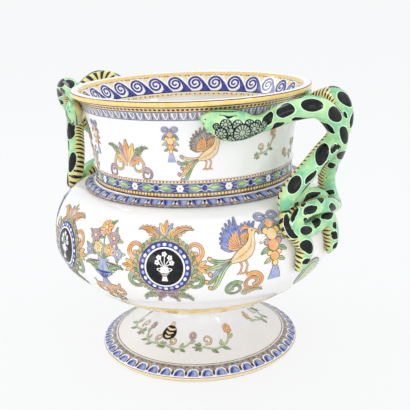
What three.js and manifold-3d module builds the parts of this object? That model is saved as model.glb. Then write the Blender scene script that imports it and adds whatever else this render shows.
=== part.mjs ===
// A two-handled tin-glazed earthenware vase: a spreading foot, a full low bowl, a wide neck with a
// collar and a flared rim, and on each side a handle of two entwined snakes whose heads lie on the
// neck and whose tails lie on the bowl. Millimetres, +Z up, the origin under the middle of the foot,
// and the two handles on the X axis.
import * as THREE from 'three';
import Module from 'manifold-3d';

const wasm = await Module();
wasm.setup();

// Heights of the main levels above the table.
const FOOT_TOP = 50;
const BELLY_LEVEL = 132;
const SHOULDER_TOP = 187;
const RIM_TOP = 288;

// Heights of the neck's bands, the lower two from the shoulder and the upper two from the rim.
const COLLAR_HEIGHT = 6;
const BELT_HEIGHT = 18.4;
const FLARE_HEIGHT = 14;
const LIP_HEIGHT = 5.5;
const COLLAR_TOP = SHOULDER_TOP + COLLAR_HEIGHT;
const BELT_TOP = COLLAR_TOP + BELT_HEIGHT;
const LIP_START = RIM_TOP - LIP_HEIGHT;
const FLARE_START = LIP_START - FLARE_HEIGHT;

// Foot.
const FOOT_BASE_RADIUS = 105.5;
const FOOT_EDGE_RADIUS = 109;
const FOOT_EDGE_LEVEL = 5.5;
const FOOT_BORDER_RADIUS = 94.6;
const FOOT_BORDER_LEVEL = 12.6;
const FOOT_RING_WIDTH = 9;
const STEM_RADIUS = 43;
const STEM_WALL = 9;
const FOOT_PLATE = 8;

// Bowl.
const BELLY_RADIUS = 151;
const SHOULDER_RADIUS = 114.5;
const BOWL_WALL = 7.5;
const BOWL_FLOOR = 9;

// Neck, collar and rim.
const NECK_BORE = 96;
const COLLAR_RADIUS = 116.5;
const COLLAR_EDGE = 2.2;
const BELT_RADIUS = 104.2;
const WAIST_RADIUS = 105.4;
const FLARE_RADIUS = 112.3;
const LIP_RADIUS = 122.3;
const RIM_RADIUS = 125;
const RIM_WALL = 8.5;
const BEAD = 0.8;

// Snakes: the radius of a body where it is fullest, and half of the head's width and height.
const GIRTH = 10;
const HEAD_HALF_WIDTH = 16;
const HEAD_HALF_HEIGHT = 9.6;
const SEAT_GAP = 0.3;

// The left handle's arches were luted on this much higher, in girths.
const LEFT_LIFT = 0.4;

// Heights on the arches and the legs are counted in these steps between the shoulder and the rim.
const HANDLE_STEPS = 10.1;
const HANDLE_STEP = (RIM_TOP - SHOULDER_TOP) / HANDLE_STEPS;
const SNAKE_SIDES = 10;
const SNAKE_STEPS = 60;
const SNAKE_RUN = 5;

// Middle of the gap that the fingers go through, as a distance from the axis and a height.
const GRIP_RADIUS = 118;
const GRIP_LEVEL = 232;

// The body turns its back upward between these distances from the nose, in girths.
const HEAD_END = 4;
const ARCH_START = 8.5;

// Round pieces are turned with this many facets.
const TURN_FACETS = 52;
const CURVE_STEPS = 6;

const GLAZE = { white: 0xf4f2ee, snake: 0x7fd49a };
const GLAZE_ROUGHNESS = 0.12;

const point = (radius, height) => new THREE.Vector2(radius, height);

// Points of a smooth stretch of a profile between two ends, drawn by its two handles.
function sweep(start, startHandle, endHandle, end, steps = CURVE_STEPS) {
  return new THREE.CubicBezierCurve(start, startHandle, endHandle, end).getPoints(steps);
}

// Outer profile of the foot, from the table up to the joint with the bowl.
function footOutside() {
  const edge = point(FOOT_EDGE_RADIUS, FOOT_EDGE_LEVEL);
  const border = point(FOOT_BORDER_RADIUS, FOOT_BORDER_LEVEL);
  const rise = FOOT_TOP - FOOT_BORDER_LEVEL;
  const reach = FOOT_BORDER_RADIUS - STEM_RADIUS;
  return [
    point(FOOT_BASE_RADIUS, 0),
    point(FOOT_EDGE_RADIUS, FOOT_EDGE_LEVEL / 2),
    edge,
    point(FOOT_EDGE_RADIUS - 1, FOOT_EDGE_LEVEL + 1.4),
    border,
    ...sweep(
      point(FOOT_BORDER_RADIUS - 1, FOOT_BORDER_LEVEL + 0.2),
      point(STEM_RADIUS + reach * 0.45, FOOT_BORDER_LEVEL + rise * 0.12),
      point(STEM_RADIUS, FOOT_BORDER_LEVEL + rise * 0.45),
      point(STEM_RADIUS, FOOT_TOP),
    ),
  ];
}

// Outer profile of the bowl, from the stem out to the belly and in to the shoulder.
function bowlOutside() {
  const drop = BELLY_LEVEL - FOOT_TOP;
  const lift = SHOULDER_TOP - BELLY_LEVEL;
  const reach = BELLY_RADIUS - STEM_RADIUS;
  const shoulder = BELLY_RADIUS - SHOULDER_RADIUS;
  const lower = sweep(
    point(STEM_RADIUS, FOOT_TOP),
    point(STEM_RADIUS + reach * 0.43, FOOT_TOP + drop * 0.11),
    point(BELLY_RADIUS, BELLY_LEVEL - drop * 0.4),
    point(BELLY_RADIUS, BELLY_LEVEL),
    CURVE_STEPS + 2,
  );
  const upper = sweep(
    point(BELLY_RADIUS, BELLY_LEVEL),
    point(BELLY_RADIUS, BELLY_LEVEL + lift * 0.47),
    point(BELLY_RADIUS - shoulder * 0.24, SHOULDER_TOP - lift * 0.06),
    point(SHOULDER_RADIUS, SHOULDER_TOP),
    CURVE_STEPS + 1,
  );
  return [...lower, ...upper.slice(1)];
}

// Outer profile of the neck, from the collar's edge up to the rim.
function neckOutside() {
  const tall = FLARE_START - BELT_TOP;
  const flare = LIP_START - FLARE_START;
  return [
    point(COLLAR_RADIUS - 1.2, SHOULDER_TOP),
    point(COLLAR_RADIUS, SHOULDER_TOP + COLLAR_EDGE * 0.6),
    point(COLLAR_RADIUS - 0.8, SHOULDER_TOP + COLLAR_EDGE),
    point(BELT_RADIUS + 5, COLLAR_TOP - 0.9),
    point(BELT_RADIUS + BEAD, COLLAR_TOP),
    point(BELT_RADIUS, COLLAR_TOP + 1.4),
    point(BELT_RADIUS, BELT_TOP - 1.6),
    point(WAIST_RADIUS + BEAD, BELT_TOP - 0.8),
    ...sweep(
      point(WAIST_RADIUS, BELT_TOP),
      point(WAIST_RADIUS, BELT_TOP + tall * 0.36),
      point(FLARE_RADIUS - 2.8, FLARE_START - tall * 0.32),
      point(FLARE_RADIUS, FLARE_START),
      5,
    ),
    ...sweep(
      point(FLARE_RADIUS + 0.6, FLARE_START + 0.6),
      point(FLARE_RADIUS + 2, FLARE_START + flare * 0.5),
      point(LIP_RADIUS - 4, LIP_START - flare * 0.22),
      point(LIP_RADIUS - 0.6, LIP_START - 0.6),
      4,
    ),
    point(LIP_RADIUS + 0.6, LIP_START),
    point(RIM_RADIUS, LIP_START + 2),
    point(RIM_RADIUS, RIM_TOP - 1.2),
    point(RIM_RADIUS - 1.4, RIM_TOP),
  ];
}

// Radius of the vase's outer wall at a height.
const wallProfile = [...footOutside(), ...bowlOutside().slice(1), ...neckOutside()];
function wallAt(height) {
  const above = wallProfile.findIndex((p) => p.y >= height);
  if (above < 1) return above === 0 ? wallProfile[0].x : RIM_RADIUS;
  const low = wallProfile[above - 1];
  const high = wallProfile[above];
  const share = (height - low.y) / Math.max(high.y - low.y, 1e-6);
  return THREE.MathUtils.lerp(low.x, high.x, share);
}

function turned(profile) {
  const geometry = new THREE.LatheGeometry(profile, TURN_FACETS);
  return toGeometry(toSolid(geometry));
}

function footGeometry() {
  const inner = FOOT_BASE_RADIUS - FOOT_RING_WIDTH;
  const bore = STEM_RADIUS - STEM_WALL;
  const hollow = sweep(
    point(bore, FOOT_TOP),
    point(bore, FOOT_TOP * 0.5),
    point(bore + (inner - bore) * 0.45, FOOT_BORDER_LEVEL * 1.3 - FOOT_PLATE),
    point(inner - FOOT_RING_WIDTH * 0.45, FOOT_BORDER_LEVEL - FOOT_PLATE),
  );
  return turned([...footOutside(), ...hollow, point(inner, 0), point(FOOT_BASE_RADIUS, 0)]);
}

function bowlGeometry() {
  const inner = BELLY_RADIUS - BOWL_WALL;
  const floor = FOOT_TOP + BOWL_FLOOR;
  const ceiling = SHOULDER_TOP - BOWL_WALL - 0.5;
  const drop = BELLY_LEVEL - floor;
  const lift = ceiling - BELLY_LEVEL;
  const roof = sweep(
    point(SHOULDER_RADIUS, ceiling),
    point(inner - (inner - SHOULDER_RADIUS) * 0.3, ceiling - BOWL_WALL * 0.27),
    point(inner, BELLY_LEVEL + lift * 0.45),
    point(inner, BELLY_LEVEL),
    CURVE_STEPS,
  );
  const basin = sweep(
    point(inner, BELLY_LEVEL),
    point(inner, BELLY_LEVEL - drop * 0.42),
    point(STEM_RADIUS + (inner - STEM_RADIUS) * 0.42, floor + drop * 0.08),
    point(STEM_RADIUS, floor),
    CURVE_STEPS,
  );
  return turned([
    point(0, FOOT_TOP),
    ...bowlOutside(),
    point(NECK_BORE, SHOULDER_TOP),
    point(NECK_BORE, ceiling + 1),
    ...roof,
    ...basin.slice(1),
    point(0, floor),
  ]);
}

function neckGeometry() {
  const mouth = RIM_RADIUS - RIM_WALL;
  const throat = FLARE_RADIUS - RIM_WALL;
  const inside = sweep(
    point(mouth, RIM_TOP - 0.6),
    point(mouth - RIM_WALL * 0.5, RIM_TOP - LIP_HEIGHT * 2.2),
    point(throat, FLARE_START),
    point(throat - RIM_WALL * 0.18, FLARE_START - FLARE_HEIGHT * 0.6),
    4,
  );
  return turned([
    ...neckOutside(),
    ...inside,
    point(WAIST_RADIUS - RIM_WALL, BELT_TOP + BELT_HEIGHT * 0.5),
    point(NECK_BORE, COLLAR_TOP),
    point(NECK_BORE, SHOULDER_TOP),
    neckOutside()[0],
  ]);
}

// The rows of a snake: the turn from the handle's plane in degrees, the distance of the middle of the
// body out from its base, its height over the group's level, and the half width and half height of the
// body there. All but the turn are in girths, or on the head, arch and leg the height is in steps.
const headWide = HEAD_HALF_WIDTH / GIRTH;
const headHigh = HEAD_HALF_HEIGHT / GIRTH;
const headRows = [
  [50, 0.95, -1.45, 0.35],
  [48, 0.96, -1.55, 0.9, 0.66],
  [44, 0.98, -1.78, 1.34, 0.86],
  [38.5, 1.04, -2.06, headWide, headHigh],
  [32, 1.04, -2.32, headWide * 0.94, headHigh * 0.94],
  [26, 1.06, -2.43, 1.16, 0.88],
  [22, 1.15, -2.36, 1.02, 0.92],
  [18.6, 1.65, -2.08, 0.99],
];
const frontArch = [
  [16.5, 2.62, -1.58, 0.99],
  [14.6, 4.13, -1.03, 1],
  [11.6, 4.95, -0.98, 1.01],
  [7, 5.25, -1.65, 1.02],
  [2, 5.4, -3.05, 1.02],
  [-1.5, 5.12, -4.46, 1],
];
const frontLeg = [
  [-6, 4.25, 3.94, 0.97],
  [-11, 3.3, 2.36, 0.93],
  [-14.8, 2.9, 0.69, 0.89],
];
const frontKnot = [
  [-16.3, 3, -0.6, 0.86],
  [-14, 3.5, -1.5, 0.82],
  [-8, 4.05, -1.5, 0.78],
  [-1, 4.45, -0.95, 0.75],
  [6, 4.6, -0.5, 0.73],
  [13, 4.55, -0.4, 0.72],
  [17, 4.5, -0.8, 0.72],
  [18.8, 4.45, -1.45, 0.72],
  [17, 4.4, -2.1, 0.72],
  [12, 4.3, -2.5, 0.72],
  [5, 4.25, -2.35, 0.73],
  [-0.5, 4.2, -2.15, 0.75],
  [-3.6, 4.15, -2.9, 0.76],
];
const frontTail = [
  [-4.3, 0.7, 1.5, 0.76],
  [-4.5, 0.62, 0.75, 0.7],
  [-4.2, 0.55, 0, 0.56],
  [-4, 0.35, -0.6, 0.28],
];
const rearArch = [
  [17, 1.86, -1.6, 0.98],
  [14.2, 2.78, -1.15, 0.99],
  [11.8, 3.6, -0.97, 1],
  [9.3, 4.37, -1.3, 1.01],
  [6.5, 4.98, -2.2, 1.01],
  [3.8, 5.15, -3.4, 1],
  [1.5, 4.85, -4.5, 1],
];
const rearLeg = [
  [-4, 4.27, 4.4, 0.98],
  [-10.3, 4.05, 3.25, 0.95],
  [-15.2, 3.57, 1.98, 0.92],
  [-18, 3.1, 0.75, 0.86],
];
const rearKnot = [
  [-17.4, 2.8, -0.15, 0.78],
  [-11, 2.3, -0.15, 0.74],
  [-2, 2.2, 0, 0.72],
  [4, 2.7, -0.3, 0.72],
  [6.5, 3.1, -0.85, 0.72],
  [2.5, 3.4, -1.2, 0.72],
  [-5, 3.4, -1.05, 0.72],
  [-13, 3.3, -1, 0.76],
  [-18.8, 3.35, -1.25, 0.84],
];
const rearTail = [
  [-19.2, 1, 3.5, 0.88],
  [-16.6, 0.9, 2.6, 0.88],
  [-14.4, 0.88, 1.43, 0.84],
  [-15.2, 0.72, 0.3, 0.72],
  [-15.8, 0.55, -0.4, 0.5],
  [-15.9, 0.35, -0.9, 0.28],
];

// Rows in millimetres. What lies on the vase is measured from its wall and what stands free from the
// shoulder's radius.
function placed(rows, level, unit, free) {
  return rows.map(([turn, off, rise, wide, high = wide]) => {
    const height = level + rise * unit;
    const base = free ? SHOULDER_RADIUS : wallAt(height);
    return [turn, base + off * GIRTH, height, wide * GIRTH, high * GIRTH];
  });
}

const route = (arch, leg, knot, tail, lift) => [
  ...placed(headRows, RIM_TOP, HANDLE_STEP, false),
  ...placed(arch, RIM_TOP + lift * GIRTH, HANDLE_STEP, true),
  ...placed(leg, SHOULDER_TOP, HANDLE_STEP, true),
  ...placed(knot, SHOULDER_TOP, GIRTH, true),
  ...placed(tail, BELLY_LEVEL, GIRTH, false),
];

// The rings of points round a snake's body. Side is 1 for a snake whose head lies toward -Y on the
// right handle and -1 for one whose head lies toward +Y; swell makes the body that much fatter. Its back
// faces away from the neck on the head, and away from the middle of the finger gap on the arch.
function snakeRings(rows, side, swell) {
  const middles = rows.map(([turn, radius, height]) => {
    const angle = THREE.MathUtils.degToRad(-turn * side);
    return new THREE.Vector3(radius * Math.cos(angle), radius * Math.sin(angle), height);
  });
  const spine = new THREE.CatmullRomCurve3(middles, false, 'centripetal');
  const widths = new THREE.SplineCurve(rows.map((row, i) => point(i, row[3])));
  const heights = new THREE.SplineCurve(rows.map((row, i) => point(i, row[4])));
  const rings = [];
  for (let i = 0; i <= SNAKE_STEPS; i += 1) {
    const share = i / SNAKE_STEPS;
    const middle = spine.getPoint(share);
    const along = spine.getTangent(share);
    const outward = new THREE.Vector3(middle.x, middle.y, 0).normalize();
    const away = outward.clone().multiplyScalar(Math.hypot(middle.x, middle.y) - GRIP_RADIUS);
    away.z = Math.max(middle.z - GRIP_LEVEL, 0);
    const behindHead = middle.distanceTo(middles[0]) / GIRTH;
    outward.lerp(away.normalize(), THREE.MathUtils.smoothstep(behindHead, HEAD_END, ARCH_START));
    const across = new THREE.Vector3().crossVectors(along, outward).normalize();
    const back = new THREE.Vector3().crossVectors(across, along).normalize();
    const halfWidth = widths.getPoint(share).y + swell;
    const halfHeight = heights.getPoint(share).y + swell;
    const ring = [];
    for (let k = 0; k < SNAKE_SIDES; k += 1) {
      const angle = (k / SNAKE_SIDES) * Math.PI * 2;
      const p = middle.clone();
      p.addScaledVector(across, halfWidth * Math.cos(angle));
      p.addScaledVector(back, halfHeight * Math.sin(angle));
      ring.push(p);
    }
    rings.push(ring);
  }
  return rings;
}

// A closed piece of a body through some of its rings, with a flat face at each end.
function runGeometry(rings) {
  const last = (rings.length - 1) * SNAKE_SIDES;
  const indices = [];
  for (let k = 0; k < SNAKE_SIDES; k += 1) {
    const next = (k + 1) % SNAKE_SIDES;
    for (let i = 0; i < last; i += SNAKE_SIDES) {
      const above = i + SNAKE_SIDES;
      indices.push(i + k, above + next, i + next, i + k, above + k, above + next);
    }
    if (k > 0 && k < SNAKE_SIDES - 1) indices.push(0, k, next, last, last + next, last + k);
  }
  const geometry = new THREE.BufferGeometry().setFromPoints(rings.flat());
  geometry.setIndex(indices);
  return geometry;
}

// A snake's body, joined from short runs so that a run may lie on another.
function snakeSolid(rows, side, swell = 0) {
  const rings = snakeRings(rows, side, swell);
  const runs = [];
  for (let start = 0; start < SNAKE_STEPS; start += SNAKE_RUN) {
    runs.push(toSolid(runGeometry(rings.slice(start, start + SNAKE_RUN + 1))));
  }
  return wasm.Manifold.union(runs);
}

// A closed mesh as a solid for cutting and joining; vertices that fall together become one.
function toSolid(geometry) {
  const position = geometry.getAttribute('position');
  const index = geometry.getIndex();
  const seen = new Map();
  const vertices = [];
  const renumber = [];
  for (let i = 0; i < position.count; i += 1) {
    const v = [position.getX(i), position.getY(i), position.getZ(i)];
    const key = v.map((c) => Math.round(c * 1e4)).join();
    if (!seen.has(key)) {
      seen.set(key, vertices.length / 3);
      vertices.push(...v);
    }
    renumber.push(seen.get(key));
  }
  const triangles = [];
  for (let i = 0; i < index.count; i += 3) {
    const [a, b, c] = [0, 1, 2].map((k) => renumber[index.getX(i + k)]);
    if (a !== b && b !== c && a !== c) triangles.push(a, b, c);
  }
  const vertProperties = new Float32Array(vertices);
  const triVerts = new Uint32Array(triangles);
  return new wasm.Manifold(new wasm.Mesh({ numProp: 3, vertProperties, triVerts }));
}

function toGeometry(solid) {
  const mesh = solid.getMesh();
  const geometry = new THREE.BufferGeometry();
  geometry.setAttribute('position', new THREE.Float32BufferAttribute(Array.from(mesh.vertProperties), 3));
  geometry.setIndex(Array.from(mesh.triVerts));
  return geometry;
}

// LatheGeometry turns its profile about Y; the vase stands along Z.
function upright(geometry) {
  return geometry.rotateX(Math.PI / 2);
}

// The vase's outside, a little fatter than it is, for seating the snakes on it.
function wallSolid() {
  const fat = wallProfile.map((p) => point(p.x + SEAT_GAP, p.y));
  const profile = [point(0, 0), ...fat, point(0, RIM_TOP)];
  return toSolid(upright(new THREE.LatheGeometry(profile, TURN_FACETS)));
}

const material = (color) => new THREE.MeshStandardMaterial({ color, roughness: GLAZE_ROUGHNESS, metalness: 0 });
const group = new THREE.Group();
function add(name, geometry, color, turn = 0) {
  const mesh = new THREE.Mesh(geometry, material(color));
  mesh.name = name;
  mesh.rotation.z = turn;
  group.add(mesh);
}

add('foot', upright(footGeometry()), GLAZE.white);
add('bowl', upright(bowlGeometry()), GLAZE.white);
add('neck', upright(neckGeometry()), GLAZE.white);

const wall = wallSolid();
function addHandle(side, lift, frontName, rearName, turn) {
  const front = route(frontArch, frontLeg, frontKnot, frontTail, lift);
  const rear = route(rearArch, rearLeg, rearKnot, rearTail, lift);
  const frontBody = snakeSolid(front, 1).subtract(wall);
  const clearance = snakeSolid(front, 1, SEAT_GAP);
  const rearBody = snakeSolid(rear, -1).subtract(wall).subtract(clearance).subtract(frontBody);
  add(`${side}_handle_${frontName}_snake`, toGeometry(frontBody), GLAZE.snake, turn);
  add(`${side}_handle_${rearName}_snake`, toGeometry(rearBody), GLAZE.snake, turn);
}
addHandle('right', 0, 'front', 'rear', 0);
addHandle('left', LEFT_LIFT, 'rear', 'front', Math.PI);

export default group;
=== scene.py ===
import math
from bisect import bisect_right
from functools import partial
from types import SimpleNamespace

import bmesh
import bpy
from bpy.props import FloatProperty, FloatVectorProperty, PointerProperty
from mathutils import Matrix, Vector
from mathutils.geometry import interpolate_bezier


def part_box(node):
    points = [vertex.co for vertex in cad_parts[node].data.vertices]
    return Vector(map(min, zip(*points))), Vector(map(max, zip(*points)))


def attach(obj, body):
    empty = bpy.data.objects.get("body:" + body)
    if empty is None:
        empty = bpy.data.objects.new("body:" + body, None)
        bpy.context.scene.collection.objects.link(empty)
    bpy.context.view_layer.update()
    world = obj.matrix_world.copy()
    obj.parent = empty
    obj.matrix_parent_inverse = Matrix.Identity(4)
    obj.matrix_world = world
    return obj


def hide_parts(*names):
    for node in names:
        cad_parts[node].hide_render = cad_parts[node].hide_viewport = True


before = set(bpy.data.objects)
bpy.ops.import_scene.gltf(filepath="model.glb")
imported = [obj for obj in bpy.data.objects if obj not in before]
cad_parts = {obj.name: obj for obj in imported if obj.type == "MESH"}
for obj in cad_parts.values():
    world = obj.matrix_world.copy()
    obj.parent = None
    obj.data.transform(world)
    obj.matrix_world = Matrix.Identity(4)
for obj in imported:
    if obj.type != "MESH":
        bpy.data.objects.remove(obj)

bl_info = {
    "name": "Snake vase",
    "version": (1, 0, 0),
    "blender": (4, 5, 0),
    "location": "View3D > Sidebar > Snake vase",
    "description": "Dresses the packed snake vase in tin glaze, painted ornament and glazed snakes",
    "category": "Object",
}

# Lengths in this file are in millimetres on the vase; a mesh gets them in metres.
MM = 0.001

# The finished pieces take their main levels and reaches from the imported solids.
NODE_TOP = {name: round(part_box(name)[1].z / MM, 3) for name in ("foot", "bowl", "neck")}
RIM_REACH = round(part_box("neck")[1].y / MM, 3)
BELLY_REACH = round(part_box("bowl")[1].y / MM, 3)
FOOT_REACH = round(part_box("foot")[1].y / MM, 3)

# Heights and walls of the turned parts, the same as in the solids.
FOOT_BORDER_WIDTH, FOOT_BORDER_LEVEL = 14.4, 12.6
FOOT_RING_WIDTH, STEM_WALL = 9, 9
BOWL_WALL, BOWL_FLOOR, BOWL_ROOF = 7.5, 9, 8
COLLAR_HEIGHT, BELT_HEIGHT, FLARE_HEIGHT, LIP_HEIGHT = 6, 18.4, 14, 5.5
NECK_BORE, RIM_WALL = 96, 8.5

# Turned pieces and the bands painted on them have the same facets, so that the paint lies even.
TURN_SEGMENTS = 160
# Edges that turn by more than this stay sharp.
SHARP = math.radians(40)

# Each paint's label, use and colour, and the name of its material.
PAINTS = {
    "yellow": ("Antimony yellow", "Bands round the rim and the foot", "#F8D06A", "antimony_yellow_brushwork"),
    "ochre": ("Ochre", "Ground of the pearls and pale bodies", "#EBC98A", "ochre_wash"),
    "orange": ("Orange", "Scrolls, leaves and fruit", "#EDA245", "iron_orange_brushwork"),
    "brown": ("Brown", "Pearls and lines", "#4E2C18", "manganese_brown_brushwork"),
    "cobalt": ("Cobalt", "Waves, rings and darts", "#262B88", "cobalt_blue_brushwork"),
    "sky": ("Pale cobalt", "Shaded tips, ribbons and flowers", "#8FA0CC", "thin_cobalt_wash"),
    "green": ("Green", "Scrolls and leaves", "#76A35C", "copper_green_brushwork"),
    "blue": ("Blue", "Leaf tips, arches and feathers", "#5A72C4", "blue_brushwork"),
    "straw": ("Straw", "Ground of the waves and edge of the foot", "#F3DCA0", "straw_yellow_wash"),
    "steel": ("Steel blue", "Ground of the belt", "#66789E", "steel_blue_wash"),
    "lilac": ("Lilac", "Ground of the eggs", "#8B8DAA", "grey_lilac_wash"),
    "umber": ("Umber", "Ground of the collar and small dots", "#7A5535", "umber_brushwork"),
    "line": ("Line", "Fine outlines of the motifs", "#6B5143", "fine_manganese_outline"),
    "leaf": ("Leaf", "Pale leaves", "#B7C98A", "pale_green_wash"),
    "mauve": ("Mauve", "Flowers and ribbons", "#B78E9A", "manganese_mauve_wash"),
    "mint": ("Mint", "Pale edges of the spots", "#D3F3C4", "pale_copper_wash"),
    "sage": ("Sage", "Scales of the crowns", "#A3B59C", "grey_green_wash"),
    "stone": ("Stone", "Ground of the foot's border", "#857A6D", "grey_brown_wash"),
    "black": ("Manganese black", "Spots and bars of the snakes, roundels", "#101315", "manganese_black_ground"),
    "white": ("Tin white", "Ground of the vase, and white brushwork", "#F1EFEC", "raised_tin_white"),
    "snake_green": ("Snake green", "Backs of the snakes", "#7CC89B", None),
    "snake_lime": ("Snake lime", "Flanks of the snakes", "#BFE7A8", None),
    "snake_belly": ("Snake belly", "Bellies of the snakes", "#EADB8C", None),
}
# How much of a paint's depth is left where the brush laid it thin, and how much thick dark paint,
# which sinks the glaze a little, still shines.
DEPTH = {"white": 1.0, "mint": 0.95, "sage": 0.95, "black": 0.985, "cobalt": 0.93, "brown": 0.95, "line": 0.95}
SHINE = {"black": 0.22, "cobalt": 0.36, "brown": 0.3}


def linear(code):
    """A hex sRGB colour as the linear numbers that Blender wants."""
    parts = [int(code[i:i + 2], 16) / 255 for i in (1, 3, 5)]
    return tuple(c / 12.92 if c <= 0.04045 else ((c + 0.055) / 1.055) ** 2.4 for c in parts)


def length_property(name, description, default):
    return FloatProperty(name=name, description=description, default=default * MM,
                         min=0.0, unit="LENGTH", subtype="DISTANCE")


def colour_property(name, description, code):
    return FloatVectorProperty(name=name, description=description, default=linear(code),
                               min=0.0, max=1.0, size=3, subtype="COLOR")


class SnakeVaseSizes(bpy.types.PropertyGroup):
    """Sizes of the turned parts and of the snakes"""
    foot_reach: length_property("Foot edge", "Radius of the foot's edge", FOOT_REACH)
    foot_top: length_property("Foot top", "Height of the joint between foot and bowl", NODE_TOP["foot"])
    stem: length_property("Stem", "Radius of the stem at that joint", 43)
    belly: length_property("Belly", "Radius of the bowl where it is widest", BELLY_REACH)
    belly_level: length_property("Belly level", "Height of the widest part of the bowl", 132)
    shoulder: length_property("Shoulder", "Radius of the bowl under the collar", 114.5)
    shoulder_top: length_property("Shoulder top", "Height of the top of the bowl", NODE_TOP["bowl"])
    rim: length_property("Rim", "Outer radius of the rim", RIM_REACH)
    rim_top: length_property("Rim top", "Height of the rim", NODE_TOP["neck"])
    girth: length_property("Snake girth", "Radius of a snake where it is fullest", 10)


class SnakeVasePaints(bpy.types.PropertyGroup):
    """Colours of the glazes and of the painted ornament"""
    __annotations__ = {paint: colour_property(*row[:3]) for paint, row in PAINTS.items()}


def sizes():
    """The vase's sizes in millimetres."""
    group = bpy.context.scene.snake_vase_sizes
    return SimpleNamespace(**{name: getattr(group, name) / MM for name in SnakeVaseSizes.__annotations__})


def paints():
    return bpy.context.scene.snake_vase_paints


# Profiles -----------------------------------------------------------------------------------------

def sweep(start, start_handle, end_handle, end, steps=20):
    """Points of a smooth stretch of a profile between two ends, drawn by its two handles."""
    corners = [Vector(p) for p in (start, start_handle, end_handle, end)]
    return [(p.x, p.y) for p in interpolate_bezier(*corners, steps + 1)]


def foot_outside():
    s = sizes()
    edge, stem, top, level = s.foot_reach, s.stem, s.foot_top, FOOT_BORDER_LEVEL
    border = edge - FOOT_BORDER_WIDTH
    rise, reach = top - level, border - stem
    return [
        (edge - 3.5, 0), (edge - 2.9, 1.2), (edge - 1.2, 2.4), (edge - 0.2, 3.4), (edge, 4.6),
        (edge - 0.1, 5.7), (edge - 1, 6.9), (border, level),
        *sweep((border - 1, level + 0.2), (stem + reach * 0.45, level + rise * 0.12),
               (stem, level + rise * 0.45), (stem, top)),
    ]


def bowl_outside():
    s = sizes()
    stem, belly, shoulder = s.stem, s.belly, s.shoulder
    low, middle, top = s.foot_top, s.belly_level, s.shoulder_top
    drop, lift, reach = middle - low, top - middle, belly - stem
    lower = sweep((stem, low), (stem + reach * 0.43, low + drop * 0.11),
                  (belly, middle - drop * 0.4), (belly, middle), 28)
    upper = sweep((belly, middle), (belly, middle + lift * 0.47),
                  (belly - (belly - shoulder) * 0.24, top - lift * 0.06), (shoulder, top), 24)
    return lower + upper[1:]


def neck_outside():
    s = sizes()
    base, top, rim = s.shoulder_top, s.rim_top, s.rim
    collar, lip = base + COLLAR_HEIGHT, top - LIP_HEIGHT
    belt, flare = collar + BELT_HEIGHT, lip - FLARE_HEIGHT
    tall = flare - belt
    return [
        (115.3, base), (116.3, base + 0.6), (116.5, base + 1.3), (116.2, base + 1.9), (115.5, base + 2.3),
        (109.2, collar - 0.9), (105.2, collar - 0.2), (104.5, collar + 0.5), (104.2, collar + 1.4),
        (104.2, belt - 1.8), (104.8, belt - 1.2), (106, belt - 0.8), (106.1, belt - 0.3),
        *sweep((105.4, belt), (105.4, belt + tall * 0.36), (109.5, flare - tall * 0.32), (112.3, flare)),
        *sweep((112.9, flare + 0.6), (114.3, flare + 7), (118.3, lip - 3.1), (121.7, lip - 0.6), 10),
        (122.5, lip - 0.2), (rim - 1.2, lip + 0.4), (rim - 0.2, lip + 1.2), (rim, lip + 2.2),
        (rim, top - 2), (rim - 0.3, top - 1), (rim - 1.2, top - 0.2), (rim - 2.2, top),
    ]


def neck_inside():
    s = sizes()
    base, top, mouth = s.shoulder_top, s.rim_top, s.rim - RIM_WALL
    flare = top - LIP_HEIGHT - FLARE_HEIGHT
    return [
        (mouth + 2.2, top), (mouth + 1, top - 0.2), (mouth + 0.2, top - 0.9),
        *sweep((mouth, top - 1.6), (mouth - 4.3, top - 12), (103.8, flare), (102.3, flare - 8.4), 12),
        (98.6, flare - 28), (NECK_BORE + 0.6, base + 30), (NECK_BORE, base + 6), (NECK_BORE, base),
    ]


class Wall:
    """An outline of the vase that shapes are laid on by an angle and by a distance along it."""

    def __init__(self, outline, outward=1):
        self.outline = [Vector(p) for p in outline]
        self.outward = outward
        self.run = [0.0]
        for a, b in zip(self.outline, self.outline[1:]):
            self.run.append(self.run[-1] + (b - a).length)

    def level(self, height):
        """Distance along the outline at a height."""
        for (a, b), start in zip(zip(self.outline, self.outline[1:]), self.run):
            if min(a.y, b.y) <= height <= max(a.y, b.y) and a.y != b.y:
                return start + (b - a).length * (height - a.y) / (b.y - a.y)
        raise ValueError(f"the outline has no point at a height of {height}")

    def at(self, run):
        """Radius, height and normal at a distance along the outline."""
        i = min(max(bisect_right(self.run, run) - 1, 0), len(self.run) - 2)
        a, b = self.outline[i], self.outline[i + 1]
        step = (b - a).normalized()
        p = a + step * (run - self.run[i])
        return p, Vector((step.y, -step.x)) * self.outward

    def place(self, angle, run, lift):
        """A point of the wall and its normal; the angle runs from +X toward -Y."""
        p, n = self.at(run)
        turned = Vector((math.cos(angle), -math.sin(angle), 0))
        up = Vector((0, 0, 1))
        normal = (turned * n.x + up * n.y).normalized()
        return (turned * p.x + up * p.y + normal * lift) * MM, normal


# Pieces and materials -----------------------------------------------------------------------------

def add_node(tree, kind, settings=None, **values):
    """Adds a node, sets its own settings, and sets or links its inputs by name, spaces as underscores."""
    node = tree.nodes.new("ShaderNode" + kind)
    for name, value in (settings or {}).items():
        setattr(node, name, value)
    for name, value in values.items():
        if name[:2] == "in" and name[2:].isdigit():
            socket = node.inputs[int(name[2:])]
        else:
            socket = node.inputs[name.replace("_", " ")]
        if isinstance(value, bpy.types.NodeSocket):
            tree.links.new(value, socket)
        else:
            socket.default_value = value
    return node


def noise(tree, grain, detail=2.0, roughness=0.5):
    """Soft noise over the object's own coordinates, its grain given in millimetres."""
    place = add_node(tree, "TexCoord").outputs["Object"]
    return add_node(tree, "TexNoise", Vector=place, Scale=1 / (grain * MM), Detail=detail,
                    Roughness=roughness).outputs["Fac"]


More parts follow.
